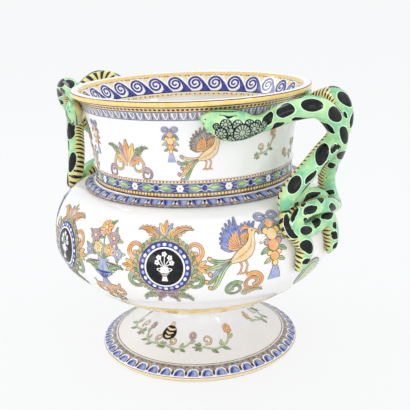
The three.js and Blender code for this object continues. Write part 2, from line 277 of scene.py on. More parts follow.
def ramp(tree, value, **ends):
    """A value brought from one range, held at its ends, to another."""
    return add_node(tree, "MapRange", Value=value, **ends).outputs["Result"]


def combine(tree, operation, *values):
    inputs = {f"in{i}": value for i, value in enumerate(values)}
    return add_node(tree, "Math", {"operation": operation}, **inputs).outputs[0]


def blend(tree, share, first, second, how="MIX"):
    """Two colours, or a socket in the place of one, mixed by a share."""
    first, second = (v if isinstance(v, bpy.types.NodeSocket) else rgba(v) for v in (first, second))
    return add_node(tree, "Mix", {"data_type": "RGBA", "blend_type": how}, Factor=share,
                    in6=first, in7=second).outputs[2]


def rgba(colour):
    return (*colour, 1.0)


def material_of(name, lay_nodes):
    """The material of that name; when there is none yet, the given function lays its nodes."""
    material = bpy.data.materials.get(name)
    if not material:
        material = bpy.data.materials.new(name)
        material.use_nodes = True
        material.node_tree.nodes.clear()
        lay_nodes(material.node_tree)
    return material


def glaze_surface(tree, colour, roughness, ripple=0.12, ripple_grain=7.0, specular=0.5):
    """Fired glaze: a glossy coat of about the index of glass whose surface ripples a little."""
    wave = noise(tree, ripple_grain)
    bump = add_node(tree, "Bump", Strength=ripple, Distance=0.4 * MM, Height=wave)
    shine = ramp(tree, wave, To_Min=roughness * 0.75, To_Max=roughness * 1.35)
    shader = add_node(tree, "BsdfPrincipled", Base_Color=colour, Roughness=shine, IOR=1.5,
                      Specular_IOR_Level=specular, Normal=bump.outputs["Normal"])
    add_node(tree, "OutputMaterial", Surface=shader.outputs["BSDF"])


def tin_glaze(tree):
    """Tin glaze: opaque white from tin oxide, a little cooler and warmer in clouds, with fine pinholes."""
    white = paints().white
    tone = blend(tree, noise(tree, 60, 3.0, 0.55), (white[0] * 0.97, white[1] * 0.975, white[2] * 1.01), white)
    place = add_node(tree, "TexCoord").outputs["Object"]
    pin = add_node(tree, "TexVoronoi", Vector=place, Scale=1 / (9 * MM))
    speck = ramp(tree, pin.outputs["Distance"], From_Min=0.03, From_Max=0.06, To_Min=0.78)
    glaze_surface(tree, blend(tree, 1.0, tone, speck, "MULTIPLY"), 0.1)


def brushwork(tree, colour, depth, specular):
    """In-glaze paint: the brush leaves it thicker and thinner, so its depth varies over a few millimetres."""
    laid = ramp(tree, noise(tree, 5, 3.0, 0.6), From_Min=0.36, From_Max=0.64)
    pale = tuple(c * depth + (1 - depth) * 0.8 for c in colour)
    glaze_surface(tree, blend(tree, laid, colour, pale), 0.14, specular=specular)


def snake_glaze(tree):
    """Green copper glaze run over a yellow belly: blue-green and lime mixed in soft clouds, barred below."""
    body = add_node(tree, "Attribute", {"attribute_name": "along_around"}).outputs["Vector"]
    part = add_node(tree, "SeparateXYZ", Vector=body).outputs
    p = paints()
    flank = ramp(tree, noise(tree, 16, 3.0, 0.55), From_Min=0.38, From_Max=0.62)
    green = blend(tree, flank, p.snake_green, p.snake_lime)
    # The belly is yellow where the attribute's second number, 1 along its middle and a half at its edge,
    # is high; the edge is laid by hand, and the black bars are widest in the middle and end in points.
    unsure = combine(tree, "MULTIPLY_ADD", noise(tree, 3), 0.3, part["Y"])
    under = ramp(tree, unsure, From_Min=0.6, From_Max=0.7)
    beat = combine(tree, "SINE", combine(tree, "MULTIPLY", part["X"], math.tau / (BAR_PITCH * MM)))
    full = ramp(tree, unsure, From_Min=0.55, From_Max=0.95, To_Min=-1.2, To_Max=0.05)
    bar = ramp(tree, combine(tree, "ADD", beat, full), From_Min=-0.1, From_Max=0.2)
    skin = blend(tree, under, green, p.snake_belly)
    skin = blend(tree, combine(tree, "MULTIPLY", bar, part["Z"]), skin, p.black)
    glaze_surface(tree, skin, 0.12, ripple=0.2, ripple_grain=5)


def paper_sheet(tree):
    """Pale paper: to the camera and in reflections mostly its own even white, and for the rest lit."""
    seen = add_node(tree, "LightPath").outputs
    either = combine(tree, "MAXIMUM", seen["Is Camera Ray"], seen["Is Glossy Ray"])
    tone = ramp(tree, noise(tree, 250), To_Min=0.8, To_Max=0.82)
    lit = add_node(tree, "BsdfDiffuse", Color=tone).outputs[0]
    own = add_node(tree, "Emission", Color=rgba(PALE), Strength=1.0).outputs[0]
    even = add_node(tree, "MixShader", Fac=0.12, in1=own, in2=lit).outputs[0]
    out = add_node(tree, "MixShader", Fac=either, in1=lit, in2=even)
    add_node(tree, "OutputMaterial", Surface=out.outputs[0])


def mesh_of(bm, name):
    mesh = bpy.data.meshes.new(name)
    bm.to_mesh(mesh)
    bm.free()
    return mesh


def add_object(name, data):
    thing = bpy.data.objects.new(name, data)
    bpy.context.scene.collection.objects.link(thing)
    return thing


def keep(bm, name, material):
    """Makes a finished bmesh a piece of the vase: smooth faces, edges sharp where it turns quickly."""
    bm.normal_update()
    for edge in bm.edges:
        edge.smooth = edge.is_manifold and edge.calc_face_angle(0) < SHARP
    for face in bm.faces:
        face.smooth = True
    piece = add_object(name, mesh_of(bm, name))
    piece.data.materials.append(material)
    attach(piece, "root")
    return piece


def spin(bm, geom, angle=math.tau, steps=TURN_SEGMENTS, **how):
    """Turns geometry about the vase's axis."""
    bmesh.ops.spin(bm, geom=geom, cent=(0, 0, 0), axis=(0, 0, 1), dvec=(0, 0, 0), angle=angle, steps=steps, **how)


def turned_piece(node, outline, closed=True):
    """Spins an outline of (radius, height) points about the vase's axis and puts it in the node's place."""
    bm = bmesh.new()
    verts = [bm.verts.new((r * MM, 0, z * MM)) for r, z in outline]
    pairs = list(zip(verts, verts[1:])) + ([(verts[-1], verts[0])] if closed else [])
    spin(bm, verts + [bm.edges.new(pair) for pair in pairs], use_merge=True)
    bmesh.ops.remove_doubles(bm, verts=bm.verts, dist=1e-6)
    bmesh.ops.recalc_face_normals(bm, faces=bm.faces)
    glaze = material_of("tin_glazed_earthenware", tin_glaze)
    piece = keep(bm, f"{node}_glaze", glaze)
    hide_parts(node)


class SNAKEVASE_OT_foot(bpy.types.Operator):
    """Turns the foot, hollow inside its ring"""
    bl_idname = "snakevase.foot"
    bl_label = "Foot"

    def execute(self, context):
        s = sizes()
        top, bore = s.foot_top, s.stem - STEM_WALL
        inner = s.foot_reach - 3.5 - FOOT_RING_WIDTH
        hollow = sweep((bore, top), (bore, top * 0.5), (bore + (inner - bore) * 0.45, 8.4), (inner - 4, 4.6), 12)
        turned_piece("foot", [*foot_outside(), *hollow, (inner, 0)])
        return {"FINISHED"}


class SNAKEVASE_OT_bowl(bpy.types.Operator):
    """Turns the bowl as one shell with a floor"""
    bl_idname = "snakevase.bowl"
    bl_label = "Bowl"

    def execute(self, context):
        s = sizes()
        inner, stem, middle, shoulder = s.belly - BOWL_WALL, s.stem, s.belly_level, s.shoulder
        floor, ceiling = s.foot_top + BOWL_FLOOR, s.shoulder_top - BOWL_ROOF
        drop, lift = middle - floor, ceiling - middle
        roof = sweep((shoulder, ceiling), (inner - (inner - shoulder) * 0.3, ceiling - 2),
                     (inner, middle + lift * 0.45), (inner, middle), 16)
        basin = sweep((inner, middle), (inner, middle - drop * 0.42),
                      (stem + (inner - stem) * 0.42, floor + drop * 0.08), (stem, floor), 16)
        mouth = [(NECK_BORE, s.shoulder_top), (NECK_BORE, ceiling + 1)]
        outline = [(0, s.foot_top), *bowl_outside(), *mouth, *roof, *basin[1:], (0, floor)]
        turned_piece("bowl", outline, closed=False)
        return {"FINISHED"}


class SNAKEVASE_OT_neck(bpy.types.Operator):
    """Turns the neck with its collar, belt, flare and rim"""
    bl_idname = "snakevase.neck"
    bl_label = "Neck"

    def execute(self, context):
        turned_piece("neck", [*neck_outside(), *neck_inside()])
        return {"FINISHED"}


# Snakes -------------------------------------------------------------------------------------------

# Rows of a snake: the turn from the handle's plane in degrees, the distance of the middle of the body
# out from its base, its height over the group's level, and the half width and half height there. All
# but the turn are in girths, or on the head, arch and leg the height is in steps.
HEAD_ROWS = (
    (50, 0.95, -1.6, 0.35, 0.35), (48, 0.96, -1.73, 0.76, 0.62), (44, 0.98, -2.03, 1.14, 0.82),
    (38.5, 1.04, -2.4, 1.45, 0.92), (32, 1.04, -2.6, 1.3, 0.88), (26, 1.06, -2.66, 0.92, 0.84),
    (22, 1.15, -2.54, 0.82, 0.84), (18.6, 1.65, -2.18, 0.9, 0.92),
)
FRONT_ARCH = (
    (16.5, 2.62, -1.58, 0.99), (14.6, 4.13, -1.03, 1), (11.6, 4.95, -0.98, 1.01), (7, 5.25, -1.65, 1.02),
    (2, 5.4, -3.05, 1.02), (-1.5, 5.12, -4.46, 1),
)
FRONT_LEG = ((-6, 4.25, 3.94, 0.97), (-11, 3.3, 2.36, 0.93), (-14.8, 2.9, 0.69, 0.89))
FRONT_KNOT = (
    (-16.3, 3, -0.6, 0.86), (-14, 3.5, -1.5, 0.82), (-8, 4.05, -1.5, 0.78), (-1, 4.45, -0.95, 0.75),
    (6, 4.6, -0.5, 0.73), (13, 4.55, -0.4, 0.72), (17, 4.5, -0.8, 0.72), (18.8, 4.45, -1.45, 0.72),
    (17, 4.4, -2.1, 0.72), (12, 4.3, -2.5, 0.72), (5, 4.25, -2.35, 0.73), (-0.5, 4.2, -2.15, 0.75),
    (-3.6, 4.15, -2.9, 0.76),
)
FRONT_TAIL = ((-4.3, 0.7, 1.5, 0.76), (-4.5, 0.62, 0.75, 0.7), (-4.2, 0.55, 0, 0.56), (-4, 0.35, -0.6, 0.28))
REAR_ARCH = (
    (17, 1.86, -1.6, 0.98), (14.2, 2.78, -1.15, 0.99), (11.8, 3.6, -0.97, 1), (9.3, 4.37, -1.3, 1.01),
    (6.5, 4.98, -2.2, 1.01), (3.8, 5.15, -3.4, 1), (1.5, 4.85, -4.5, 1),
)
REAR_LEG = ((-4, 4.27, 4.4, 0.98), (-10.3, 4.05, 3.25, 0.95), (-15.2, 3.57, 1.98, 0.92), (-18, 3.1, 0.75, 0.86))
REAR_KNOT = (
    (-17.4, 2.8, -0.15, 0.78), (-11, 2.3, -0.15, 0.74), (-2, 2.2, 0, 0.72), (4, 2.7, -0.3, 0.72),
    (6.5, 3.1, -0.85, 0.72), (2.5, 3.4, -1.2, 0.72), (-5, 3.4, -1.05, 0.72), (-13, 3.3, -1, 0.76),
    (-18.8, 3.35, -1.25, 0.84),
)
REAR_TAIL = (
    (-19.2, 1, 3.5, 0.88), (-16.6, 0.9, 2.6, 0.88), (-14.4, 0.88, 1.43, 0.84), (-15.2, 0.72, 0.3, 0.72),
    (-15.8, 0.55, -0.4, 0.5), (-15.9, 0.35, -0.9, 0.28),
)
# A step in millimetres, and how much higher the left arches stand, in girths.
HANDLE_STEP = 10.0
LEFT_LIFT = 0.4
# The body's back turns away from the vase's axis on the head and, once the arch has begun (both in
# girths from the nose), from a ring of this radius and height inside the handle.
HEAD_END, ARCH_START = 4, 8.5
GRIP_RADIUS, GRIP_LEVEL = 118, 232
CURVE_STEPS = 400
SNAKE_RINGS = 200
SNAKE_SIDES = 28
# Nose and tail are closed by smaller rings: how small, and how far beyond the end, in millimetres.
END_RINGS = ((0.35, 1.3), (0.75, 0.9))
# A spot at least this wide is a plain oval; a narrower one ends in blunt points, as the brush leaves them.
BROAD_SPOT = 9
# Its line in halves of its length and in its widths, and its width there.
NARROW_SPOT = ((-1, -0.1, 0.3), (-0.5, 0.06, 0.9), (0, 0, 1), (0.5, -0.06, 0.9), (1, 0.1, 0.3))
# The belly's black bars lie this far apart, and start this far from the nose.
BAR_PITCH, BARS_START = 4.6, 44


def clamp(value, low=0.0, high=1.0):
    return min(max(value, low), high)


def ease(share):
    """A share held between 0 and 1, with a slow start and end."""
    share = clamp(share)
    return share * share * (3 - 2 * share)


def catmull(p, share, pace):
    """A point between the second and third of four, on a Catmull-Rom curve paced by its chords."""
    gaps = [max((b - a).length ** pace, 1e-4) if isinstance(a, Vector) else 1.0 for a, b in zip(p, p[1:])]
    before = (p[1] - p[0]) / gaps[0] - (p[2] - p[0]) / (gaps[0] + gaps[1]) + (p[2] - p[1]) / gaps[1]
    after = (p[2] - p[1]) / gaps[1] - (p[3] - p[1]) / (gaps[1] + gaps[2]) + (p[3] - p[2]) / gaps[2]
    u, v = before * gaps[1], after * gaps[1]
    bend, settle = p[2] * 3 - p[1] * 3 - u * 2 - v, p[1] * 2 - p[2] * 2 + u + v
    return p[1] + u * share + bend * share ** 2 + settle * share ** 3


def along_rows(values, share, pace=0.5):
    """The value at a share of a smooth curve through the given ones, points or numbers."""
    place = clamp(share) * (len(values) - 1)
    i = min(int(place), len(values) - 2)
    first = values[i - 1] if i > 0 else values[0] * 2 - values[1] if pace else values[0]
    last = values[i + 2] if i + 2 < len(values) else values[-1] * 2 - values[-2] if pace else values[-1]
    return catmull([first, values[i], values[i + 1], last], place - i, pace)


def heading(values, share, reach=0.01):
    """The way a curve goes at a share of it."""
    return along_rows(values, min(share + reach, 1)) - along_rows(values, max(share - reach, 0))


# The belly at distances from the nose in millimetres: where its middle lies round the body, and how
# far it reaches to each side, in degrees. The snakes of the left handle lie turned otherwise.
BELLIES = (
    ((0, 270, 34), (45, 262, 34), (85, 200, 30), (130, 200, 30), (180, 298, 46), (200, 306, 48), (300, 304, 48),
     (392, 318, 58), (470, 318, 60)),
    ((0, 270, 34), (45, 290, 34), (80, 372, 34), (98, 376, 34), (112, 338, 30), (140, 318, 36), (235, 316, 40),
     (366, 365, 48), (392, 365, 48), (402, 350, 54), (440, 350, 54)),
    ((0, 270, 46), (60, 230, 50), (104, 165, 62), (132, 165, 62), (184, 262, 60), (238, 260, 62), (256, 220, 84),
     (290, 230, 80), (320, 266, 54), (470, 290, 54)),
    ((0, 270, 56), (200, 270, 56), (440, 290, 50)),
)


def belly_at(keys, run):
    """The belly's middle and reach at a distance from the nose, eased from one key to the next."""
    i = clamp(bisect_right([k[0] for k in keys], run) - 1, 0, len(keys) - 2)
    (start, *first), (end, *second) = keys[i], keys[i + 1]
    share = ease((run - start) / (end - start))
    return [a + (b - a) * share for a, b in zip(first, second)]


class Snake:
    """The line of a snake's body with its width, height and back at each place on it."""

    def __init__(self, node, belly_keys, arch, leg, knot, tail, side, lift=0.0, turn=0.0, slow_bars=0.0):
        self.node, self.belly_keys, self.side, self.turn = node, belly_keys, side, turn
        self.slow_bars = slow_bars
        s = sizes()
        girth = self.girth = s.girth
        wall = Wall([*foot_outside(), *bowl_outside()[1:], *neck_outside()])
        self.middles, self.wide, self.high = [], [], []
        for rows, level, unit, free in (
            (HEAD_ROWS, s.rim_top, HANDLE_STEP, False), (arch, s.rim_top + lift * girth, HANDLE_STEP, True),
            (leg, s.shoulder_top, HANDLE_STEP, True), (knot, s.shoulder_top, girth, True),
            (tail, s.belly_level, girth, False),
        ):
            for turned, off, rise, *half in rows:
                height = level + rise * unit
                radius = (s.shoulder if free else wall.at(wall.level(height))[0].x) + off * girth
                angle = math.radians(-turned * side)
                self.middles.append(Vector((radius * math.cos(angle), radius * math.sin(angle), height)))
                self.wide.append(half[0] * girth)
                self.high.append(half[-1] * girth)
        points = [along_rows(self.middles, i / CURVE_STEPS) for i in range(CURVE_STEPS + 1)]
        self.run = [0.0]
        for a, b in zip(points, points[1:]):
            self.run.append(self.run[-1] + (b - a).length)
        self.length = self.run[-1]

    def section(self, run):
        """Middle, direction, across, back, half width and half height at a distance from the nose."""
        i = clamp(bisect_right(self.run, run) - 1, 0, CURVE_STEPS - 1)
        share = (i + (run - self.run[i]) / (self.run[i + 1] - self.run[i])) / CURVE_STEPS
        middle = along_rows(self.middles, share)
        along = heading(self.middles, share, 1e-3).normalized()
        radial = Vector((middle.x, middle.y, 0))
        away = radial.normalized() * (radial.length - GRIP_RADIUS)
        away.z = max(middle.z - GRIP_LEVEL, 0)
        part = ((middle - self.middles[0]).length / self.girth - HEAD_END) / (ARCH_START - HEAD_END)
        outward = radial.normalized().lerp(away.normalized(), ease(part))
        across = along.cross(outward).normalized()
        back = across.cross(along).normalized()
        return middle, along, across, back, along_rows(self.wide, share, 0), along_rows(self.high, share, 0)

    def ring_matrix(self, run, shrink, ahead):
        """Lays a unit circle as the body's section, shrunk and moved ahead."""
        middle, along, across, back, wide, high = self.section(run)
        m = Matrix((across * wide * shrink, back * high * shrink, along)).transposed().to_4x4()
        m.translation = middle + along * ahead
        return Matrix.Rotation(self.turn, 4, "Z") @ Matrix.Scale(MM, 4) @ m

    def place(self, run, around, lift):
        """A point of the skin and its normal; around is in radians, 0 across and a quarter on the back."""
        middle, _, across, back, wide, high = self.section(run)
        c, b = math.cos(around), math.sin(around)
        normal = (across * c / wide + back * b / high).normalized()
        p = middle + across * c * wide + back * b * high + normal * lift
        turned = Matrix.Rotation(self.turn, 3, "Z")
        return turned @ p * MM, turned @ normal

    def brush(self, painting, run, around):
        """A brush about a point of the skin; x runs from nose to tail and y round the body."""
        wide, high = self.section(run)[4:]
        angle = math.radians(around)
        radius = math.hypot(wide * math.sin(angle), high * math.cos(angle))

        def surface(x, y, lift):
            return self.place(clamp(run + x, 0, self.length), angle + y / radius, lift)

        return Brush(painting, surface, cell=1.4)

    def spot(self, painting, run, around, run_end, around_end, wide):
        """A dark spot with a pale edge, from one point of the skin to another."""
        around_end = around + (around_end - around + 180) % 360 - 180
        middle = (run + run_end) / 2
        brush = self.brush(painting, middle, (around + around_end) / 2)
        x, y = (run_end - run) / 2, math.radians(around_end - around) * self.section(middle)[4] / 2
        long, turn = max(math.hypot(x, y), wide / 2), math.degrees(math.atan2(y, x))
        for paint, more, layer in (("mint", 1, 0), ("black", 0, 1)):
            ends, full = long + more, wide + 2 * more
            if wide >= BROAD_SPOT:
                brush.dot(paint, 0, 0, ends, full / 2, turn, layer=layer)
            else:
                line = [(ends * u, full * v) for u, v, _ in NARROW_SPOT]
                brush.at(turn=turn).stroke(paint, line, *(full * w for _, _, w in NARROW_SPOT), layer=layer)


def snakes():
    """The four snakes, those of the left handle turned by half a turn and luted on a little higher."""
    front = (FRONT_ARCH, FRONT_LEG, FRONT_KNOT, FRONT_TAIL, 1)
    rear = (REAR_ARCH, REAR_LEG, REAR_KNOT, REAR_TAIL, -1)
    left = (LEFT_LIFT, math.pi)
    return [
        Snake("right_handle_front_snake", BELLIES[0], *front), Snake("right_handle_rear_snake", BELLIES[1], *rear),
        Snake("left_handle_rear_snake", BELLIES[2], *front, *left, slow_bars=135),
        Snake("left_handle_front_snake", BELLIES[3], *rear, *left),
    ]


class SNAKEVASE_OT_snakes(bpy.types.Operator):
    """Draws the four snakes as smooth bodies from nose to tail"""
    bl_idname = "snakevase.snakes"
    bl_label = "Snakes"

    def execute(self, context):
        for snake in snakes():
            bm = bmesh.new()
            body = bm.verts.layers.float_vector.new("along_around")
            stops = [(0.0, shrink, -beyond) for shrink, beyond in END_RINGS]
            stops += [(snake.length * i / SNAKE_RINGS, 1.0, 0.0) for i in range(SNAKE_RINGS + 1)]
            stops += [(snake.length, shrink, beyond) for shrink, beyond in reversed(END_RINGS)]
            last = None
            for run, shrink, ahead in stops:
                ring = bmesh.ops.create_circle(bm, segments=SNAKE_SIDES, radius=1, cap_ends=last is None,
                                               matrix=snake.ring_matrix(run, shrink, ahead))["verts"]
                belly, reach = belly_at(snake.belly_keys, run)
                beat = (run - 0.45 * min(run, snake.slow_bars)) * MM
                for k, vert in enumerate(ring):
                    off = abs((360 * (k / SNAKE_SIDES + 0.25) - belly + 180) % 360 - 180)
                    vert[body] = (beat, 1 - off / (2 * reach), clamp((run - BARS_START) / 6))
                loop = [e for e in {e for v in ring for e in v.link_edges} if all(v in ring for v in e.verts)]
                if last:
                    bmesh.ops.bridge_loops(bm, edges=last + loop)
                last = loop
            bmesh.ops.edgeloop_fill(bm, edges=last)
            bmesh.ops.recalc_face_normals(bm, faces=bm.faces)
            glaze = material_of("copper_green_glazed_earthenware", snake_glaze)
            piece = keep(bm, snake.node.replace("handle_", "") + "_skin", glaze)
            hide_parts(snake.node)
        return {"FINISHED"}


# Brushwork ----------------------------------------------------------------------------------------

# Each coat of paint lies this much over the one below it, more than the sag of a flat face on the wall.
COAT = 0.1
# A band is cut into steps of at most this height.
BAND_STEP = 4


def mix_along(values, share):
    """One of a few evenly spaced numbers, or a smooth mixture of two of them."""
    return values[0] if len(values) == 1 else along_rows(values, share, 0)


def spiral(x, y, start, radii, turns, flat=1.0):
    """Points of a spiral round (x, y) from an angle in degrees, whose radius follows the given radii."""
    steps = max(6, round(abs(turns) * 14))
    points = []
    for i in range(steps + 1):
        angle = math.radians(start + 360 * turns * i / steps)
        radius = mix_along(radii, i / steps)
        points.append((x + radius * math.cos(angle), y + radius * math.sin(angle) * flat))
    return points


class Painting:
    """The painted marks of one part, each paint in a mesh of its own."""

    def __init__(self):
        self.coats = {}

    def coat(self, paint):
        if paint not in self.coats:
            self.coats[paint] = bmesh.new()
        return self.coats[paint]

    def brush(self, wall, angle=0.0, height=0.0, **move):
        """A brush about a point of the wall; x runs to the right of who looks at it and y up the wall."""
        run = wall.level(height)
        (radius, _), normal = wall.at(run)
        way = -1 if normal.x < 0 else 1
        middle = math.radians(angle)

        def surface(x, y, lift):
            return wall.place(middle - way * x / radius, run + way * y, lift)

        return Brush(self, surface).at(**move)

    def around(self, count, draw, first=0.0):
        """Draws a motif and repeats it round the vase's axis, the first at an angle in degrees."""
        fresh = Painting()
        draw(fresh)
        for paint, bm in fresh.coats.items():
            geom = bm.verts[:] + bm.edges[:] + bm.faces[:]
            turn = Matrix.Rotation(-math.radians(first), 3, "Z")
            bmesh.ops.rotate(bm, cent=(0, 0, 0), matrix=turn, verts=bm.verts)
            spin(bm, geom, math.tau * (count - 1) / count, count - 1, use_duplicate=True)
            carrier = mesh_of(bm, "carrier")
            self.coat(paint).from_mesh(carrier)
            bpy.data.meshes.remove(carrier)

    def bands(self, wall, level, *rows):
        """Bands all round the vase, each a paint, its two heights over the level, and its layer."""
        for paint, low, high, *layer in rows:
            self.band(paint, wall, level + low, level + high, *layer)

    def band(self, paint, wall, low, high, layer=0):
        start, end = sorted((wall.level(low), wall.level(high)))
        runs = [start, *(r for r in wall.run if start + 0.05 < r < end - 0.05), end]
        while any(b - a > BAND_STEP for a, b in zip(runs, runs[1:])):
            runs = sorted({*runs, *((a + b) / 2 for a, b in zip(runs, runs[1:]) if b - a > BAND_STEP)})
        bm = self.coat(paint)
        before = set(bm.faces)
        verts = [bm.verts.new(wall.place(0, run, COAT * (layer + 1))[0]) for run in runs]
        spin(bm, verts + [bm.edges.new(pair) for pair in zip(verts, verts[1:])], use_merge=True)
        made = [face for face in bm.faces if face not in before]
        made[0].normal_update()
        away, outward = made[0].calc_center_median(), wall.at(runs[len(runs) // 2])[1]
        away.z = 0
        if made[0].normal.dot(away.normalized() * outward.x + Vector((0, 0, outward.y))) < 0:
            bmesh.ops.reverse_faces(bm, faces=made)

    def finish(self, part):
        """Makes every coat a piece of the part."""
        for paint, bm in self.coats.items():
            bmesh.ops.remove_doubles(bm, verts=bm.verts, dist=2e-6)
            work = partial(brushwork, colour=getattr(paints(), paint), depth=DEPTH.get(paint, 0.68),
                           specular=SHINE.get(paint, 0.5))
            keep(bm, f"{part}_{paint}_paint", material_of(PAINTS[paint][3], work))


class Brush:
    """Lays strokes, dots and rings on a surface, in millimetres about its own middle."""

    def __init__(self, painting, surface, cell=4.0):
        self.painting, self.surface, self.cell = painting, surface, cell
        self.scale, self.middle = 1.0, Vector((0, 0))
        self.axes = (Vector((1, 0)), Vector((0, 1)))

    def at(self, x=0.0, y=0.0, turn=0.0, scale=1.0, mirror=False):
        """The same brush moved, turned, scaled or mirrored."""
        other = Brush(self.painting, self.surface, self.cell)
        cos, sin = math.cos(math.radians(turn)) * scale, math.sin(math.radians(turn)) * scale
        right, up = self.axes
        other.scale = self.scale * scale
        other.axes = ((right * cos + up * sin) * (-1 if mirror else 1), up * cos - right * sin)
        other.middle = self.middle + right * x + up * y
        return other

    def both(self, x=0.0, y=0.0):
        """The brush moved, and its mirror image."""
        return [self.at(x, y, mirror=mirror) for mirror in (False, True)]

    def lay(self, paint, cells, shape, layer):
        """A sheet of cells whose corners go where the shape puts them."""
        bm = self.painting.coat(paint)
        verts = bmesh.ops.create_grid(bm, x_segments=cells[0], y_segments=cells[1], size=1)["verts"]
        normals = {}
        for vert in verts:
            p = shape(vert.co.x, vert.co.y)
            q = self.middle + self.axes[0] * p[0] + self.axes[1] * p[1]
            vert.co, normals[vert] = self.surface(q.x, q.y, COAT * (layer + 1))
        turned = []
        for face in {f for v in verts for f in v.link_faces}:
            face.normal_update()
            if face.normal.dot(sum((normals[v] for v in face.verts), Vector())) < 0:
                turned.append(face)
        bmesh.ops.reverse_faces(bm, faces=turned)

    def stroke(self, paint, points, *widths, layer=1):
        """One pull of the brush through the points, as wide at even steps along it as the widths say."""
        line = [Vector(p) for p in points]
        length = sum((b - a).length for a, b in zip(line, line[1:])) * self.scale
        wide = max(widths) * self.scale

        def shape(u, v):
            share = (u + 1) / 2
            step = heading(line, share)
            side = Vector((-step.y, step.x)).normalized()
            return along_rows(line, share) + side * (v * max(mix_along(widths, share), 0) / 2)

        step = clamp(wide * 0.4, 1.2, self.cell)
        self.lay(paint, (clamp(round(length / step), 3, 60), max(1, math.ceil(wide / self.cell))), shape, layer)

    def dot(self, paint, x, y, wide, high=None, turn=0.0, layer=1):
        """A filled round or oval of the given half width and half height."""
        high = wide if high is None else high
        cos, sin = math.cos(math.radians(turn)), math.sin(math.radians(turn))

        def shape(u, v):
            a, b = u * math.sqrt(1 - v * v / 2) * wide, v * math.sqrt(1 - u * u / 2) * high
            return x + a * cos - b * sin, y + a * sin + b * cos

        fine = min(self.cell / 2, 1.3)
        self.lay(paint, [max(2, math.ceil(size * self.scale / fine)) for size in (wide, high)], shape, layer)

    def edged(self, paint, points, *widths, edge=0.5, layer=1):
        """A stroke with a fine dark line along both sides, and one down the middle of a wide one."""
        self.stroke("line", points, *(w + 2 * edge for w in widths), layer=layer)
        self.stroke(paint, points, *widths, layer=layer + 1)
        if max(widths) > 2 and paint != "white":
            self.stroke("line", points, 0.05, 0.38, 0.42, 0.3, 0.05, layer=layer + 1.6)

    def bead(self, paint, x, y, wide, high=None, turn=0.0, edge=0.5, layer=1):
        """A dot with a fine dark line round it."""
        high = wide if high is None else high
        self.dot("line", x, y, wide + edge, high + edge, turn, layer=layer)
        self.dot(paint, x, y, wide, high, turn, layer=layer + 1)

    def ring(self, paint, x, y, radius, thick, layer=1):
        """A round line."""
        turns = [math.radians(20 * i) for i in range(19)]
        points = [(x + radius * math.cos(t), y + radius * math.sin(t)) for t in turns]
        self.stroke(paint, points, thick, layer=layer)


# Borders ------------------------------------------------------------------------------------------

def rim_border(painting, wall):
    """Under the lip: the yellow band, brown pearls on ochre, and white eggs on a grey-lilac ground."""
    top = sizes().rim_top
    painting.bands(
        wall, top, ("brown", -1.2, -0.4), ("yellow", -5.3, -1.1), ("brown", -6.6, -5.4), ("ochre", -10.6, -6.5),
        ("lilac", -19.3, -10.6), ("brown", -11.1, -10.5, 1), ("line", -19.4, -18.9, 1),
    )
    painting.around(174, lambda p: p.brush(wall, 0, top - 8.5).dot("brown", 0, 0, 1.5, 1.65))

    def egg(p):
        b = p.brush(wall, 0, top - 14.8)
        b.stroke("white", [(0, 3.6), (0, 0.6), (0, -3.8)], 5.8, 5.6, 4.4, 0.9)
        b.stroke("lilac", [(0.4, 3.4), (0.4, 0.6), (0, -2.8)], 3.2, 3.4, 2.4, 0.4, layer=2)
        b.stroke("line", [(4.05, 3.6), (4.05, -3.4)], 0.6, 0.6, 1.5)

    painting.around(87, egg)


def wave_border(painting, wall):
    """Inside the mouth: a running wave of white and blue between two dotted lines."""
    top = sizes().rim_top
    painting.bands(
        wall, top, ("straw", -21.5, -4.8), ("yellow", -4.2, -1), ("umber", -4.5, -4.2),
        ("black", -22.4, -21.5, 1), ("straw", -27.4, -23.1),
    )

    def wave(p):
        b = p.brush(wall, 0, top - 21.8)
        b.dot("white", -2.6, 10.2, 10.2, 10.2)
        b.stroke("white", [(0, 19.4), (5, 17), (9.4, 11), (13, 4.6), (17.4, 1)], 3.2, 3.2, 3.2, 3, 2.2, layer=2)
        b.stroke("cobalt", [(9.2, 0), (9.3, 3), (8, 7), (5.6, 11.8), (1.9, 16.2)], 15, 8.6, 4.8, 3, 2.4, layer=3)
        b.stroke("cobalt", spiral(-2.6, 10.2, 52, (7.5, 7.2, 6.7, 6, 5.2, 4.3, 3.5, 2.6, 1.7, 0.9), 1.85, 1.04),
                 2.3, 2.5, 2.4, 2.2, 2, 1.9, 1.6, layer=3)
        for x in (-9.6, -3.2, 3.2, 9.6):
            b.dot("umber", x, -3.4, 1.2, 1, layer=1)
            b.dot("umber", x * 1.02, 20.2, 1.3, 0.9, layer=1)
            b.dot("yellow", x + 3, -3.4, 0.9, 0.9, layer=1)

    painting.around(29, wave, -121.8)


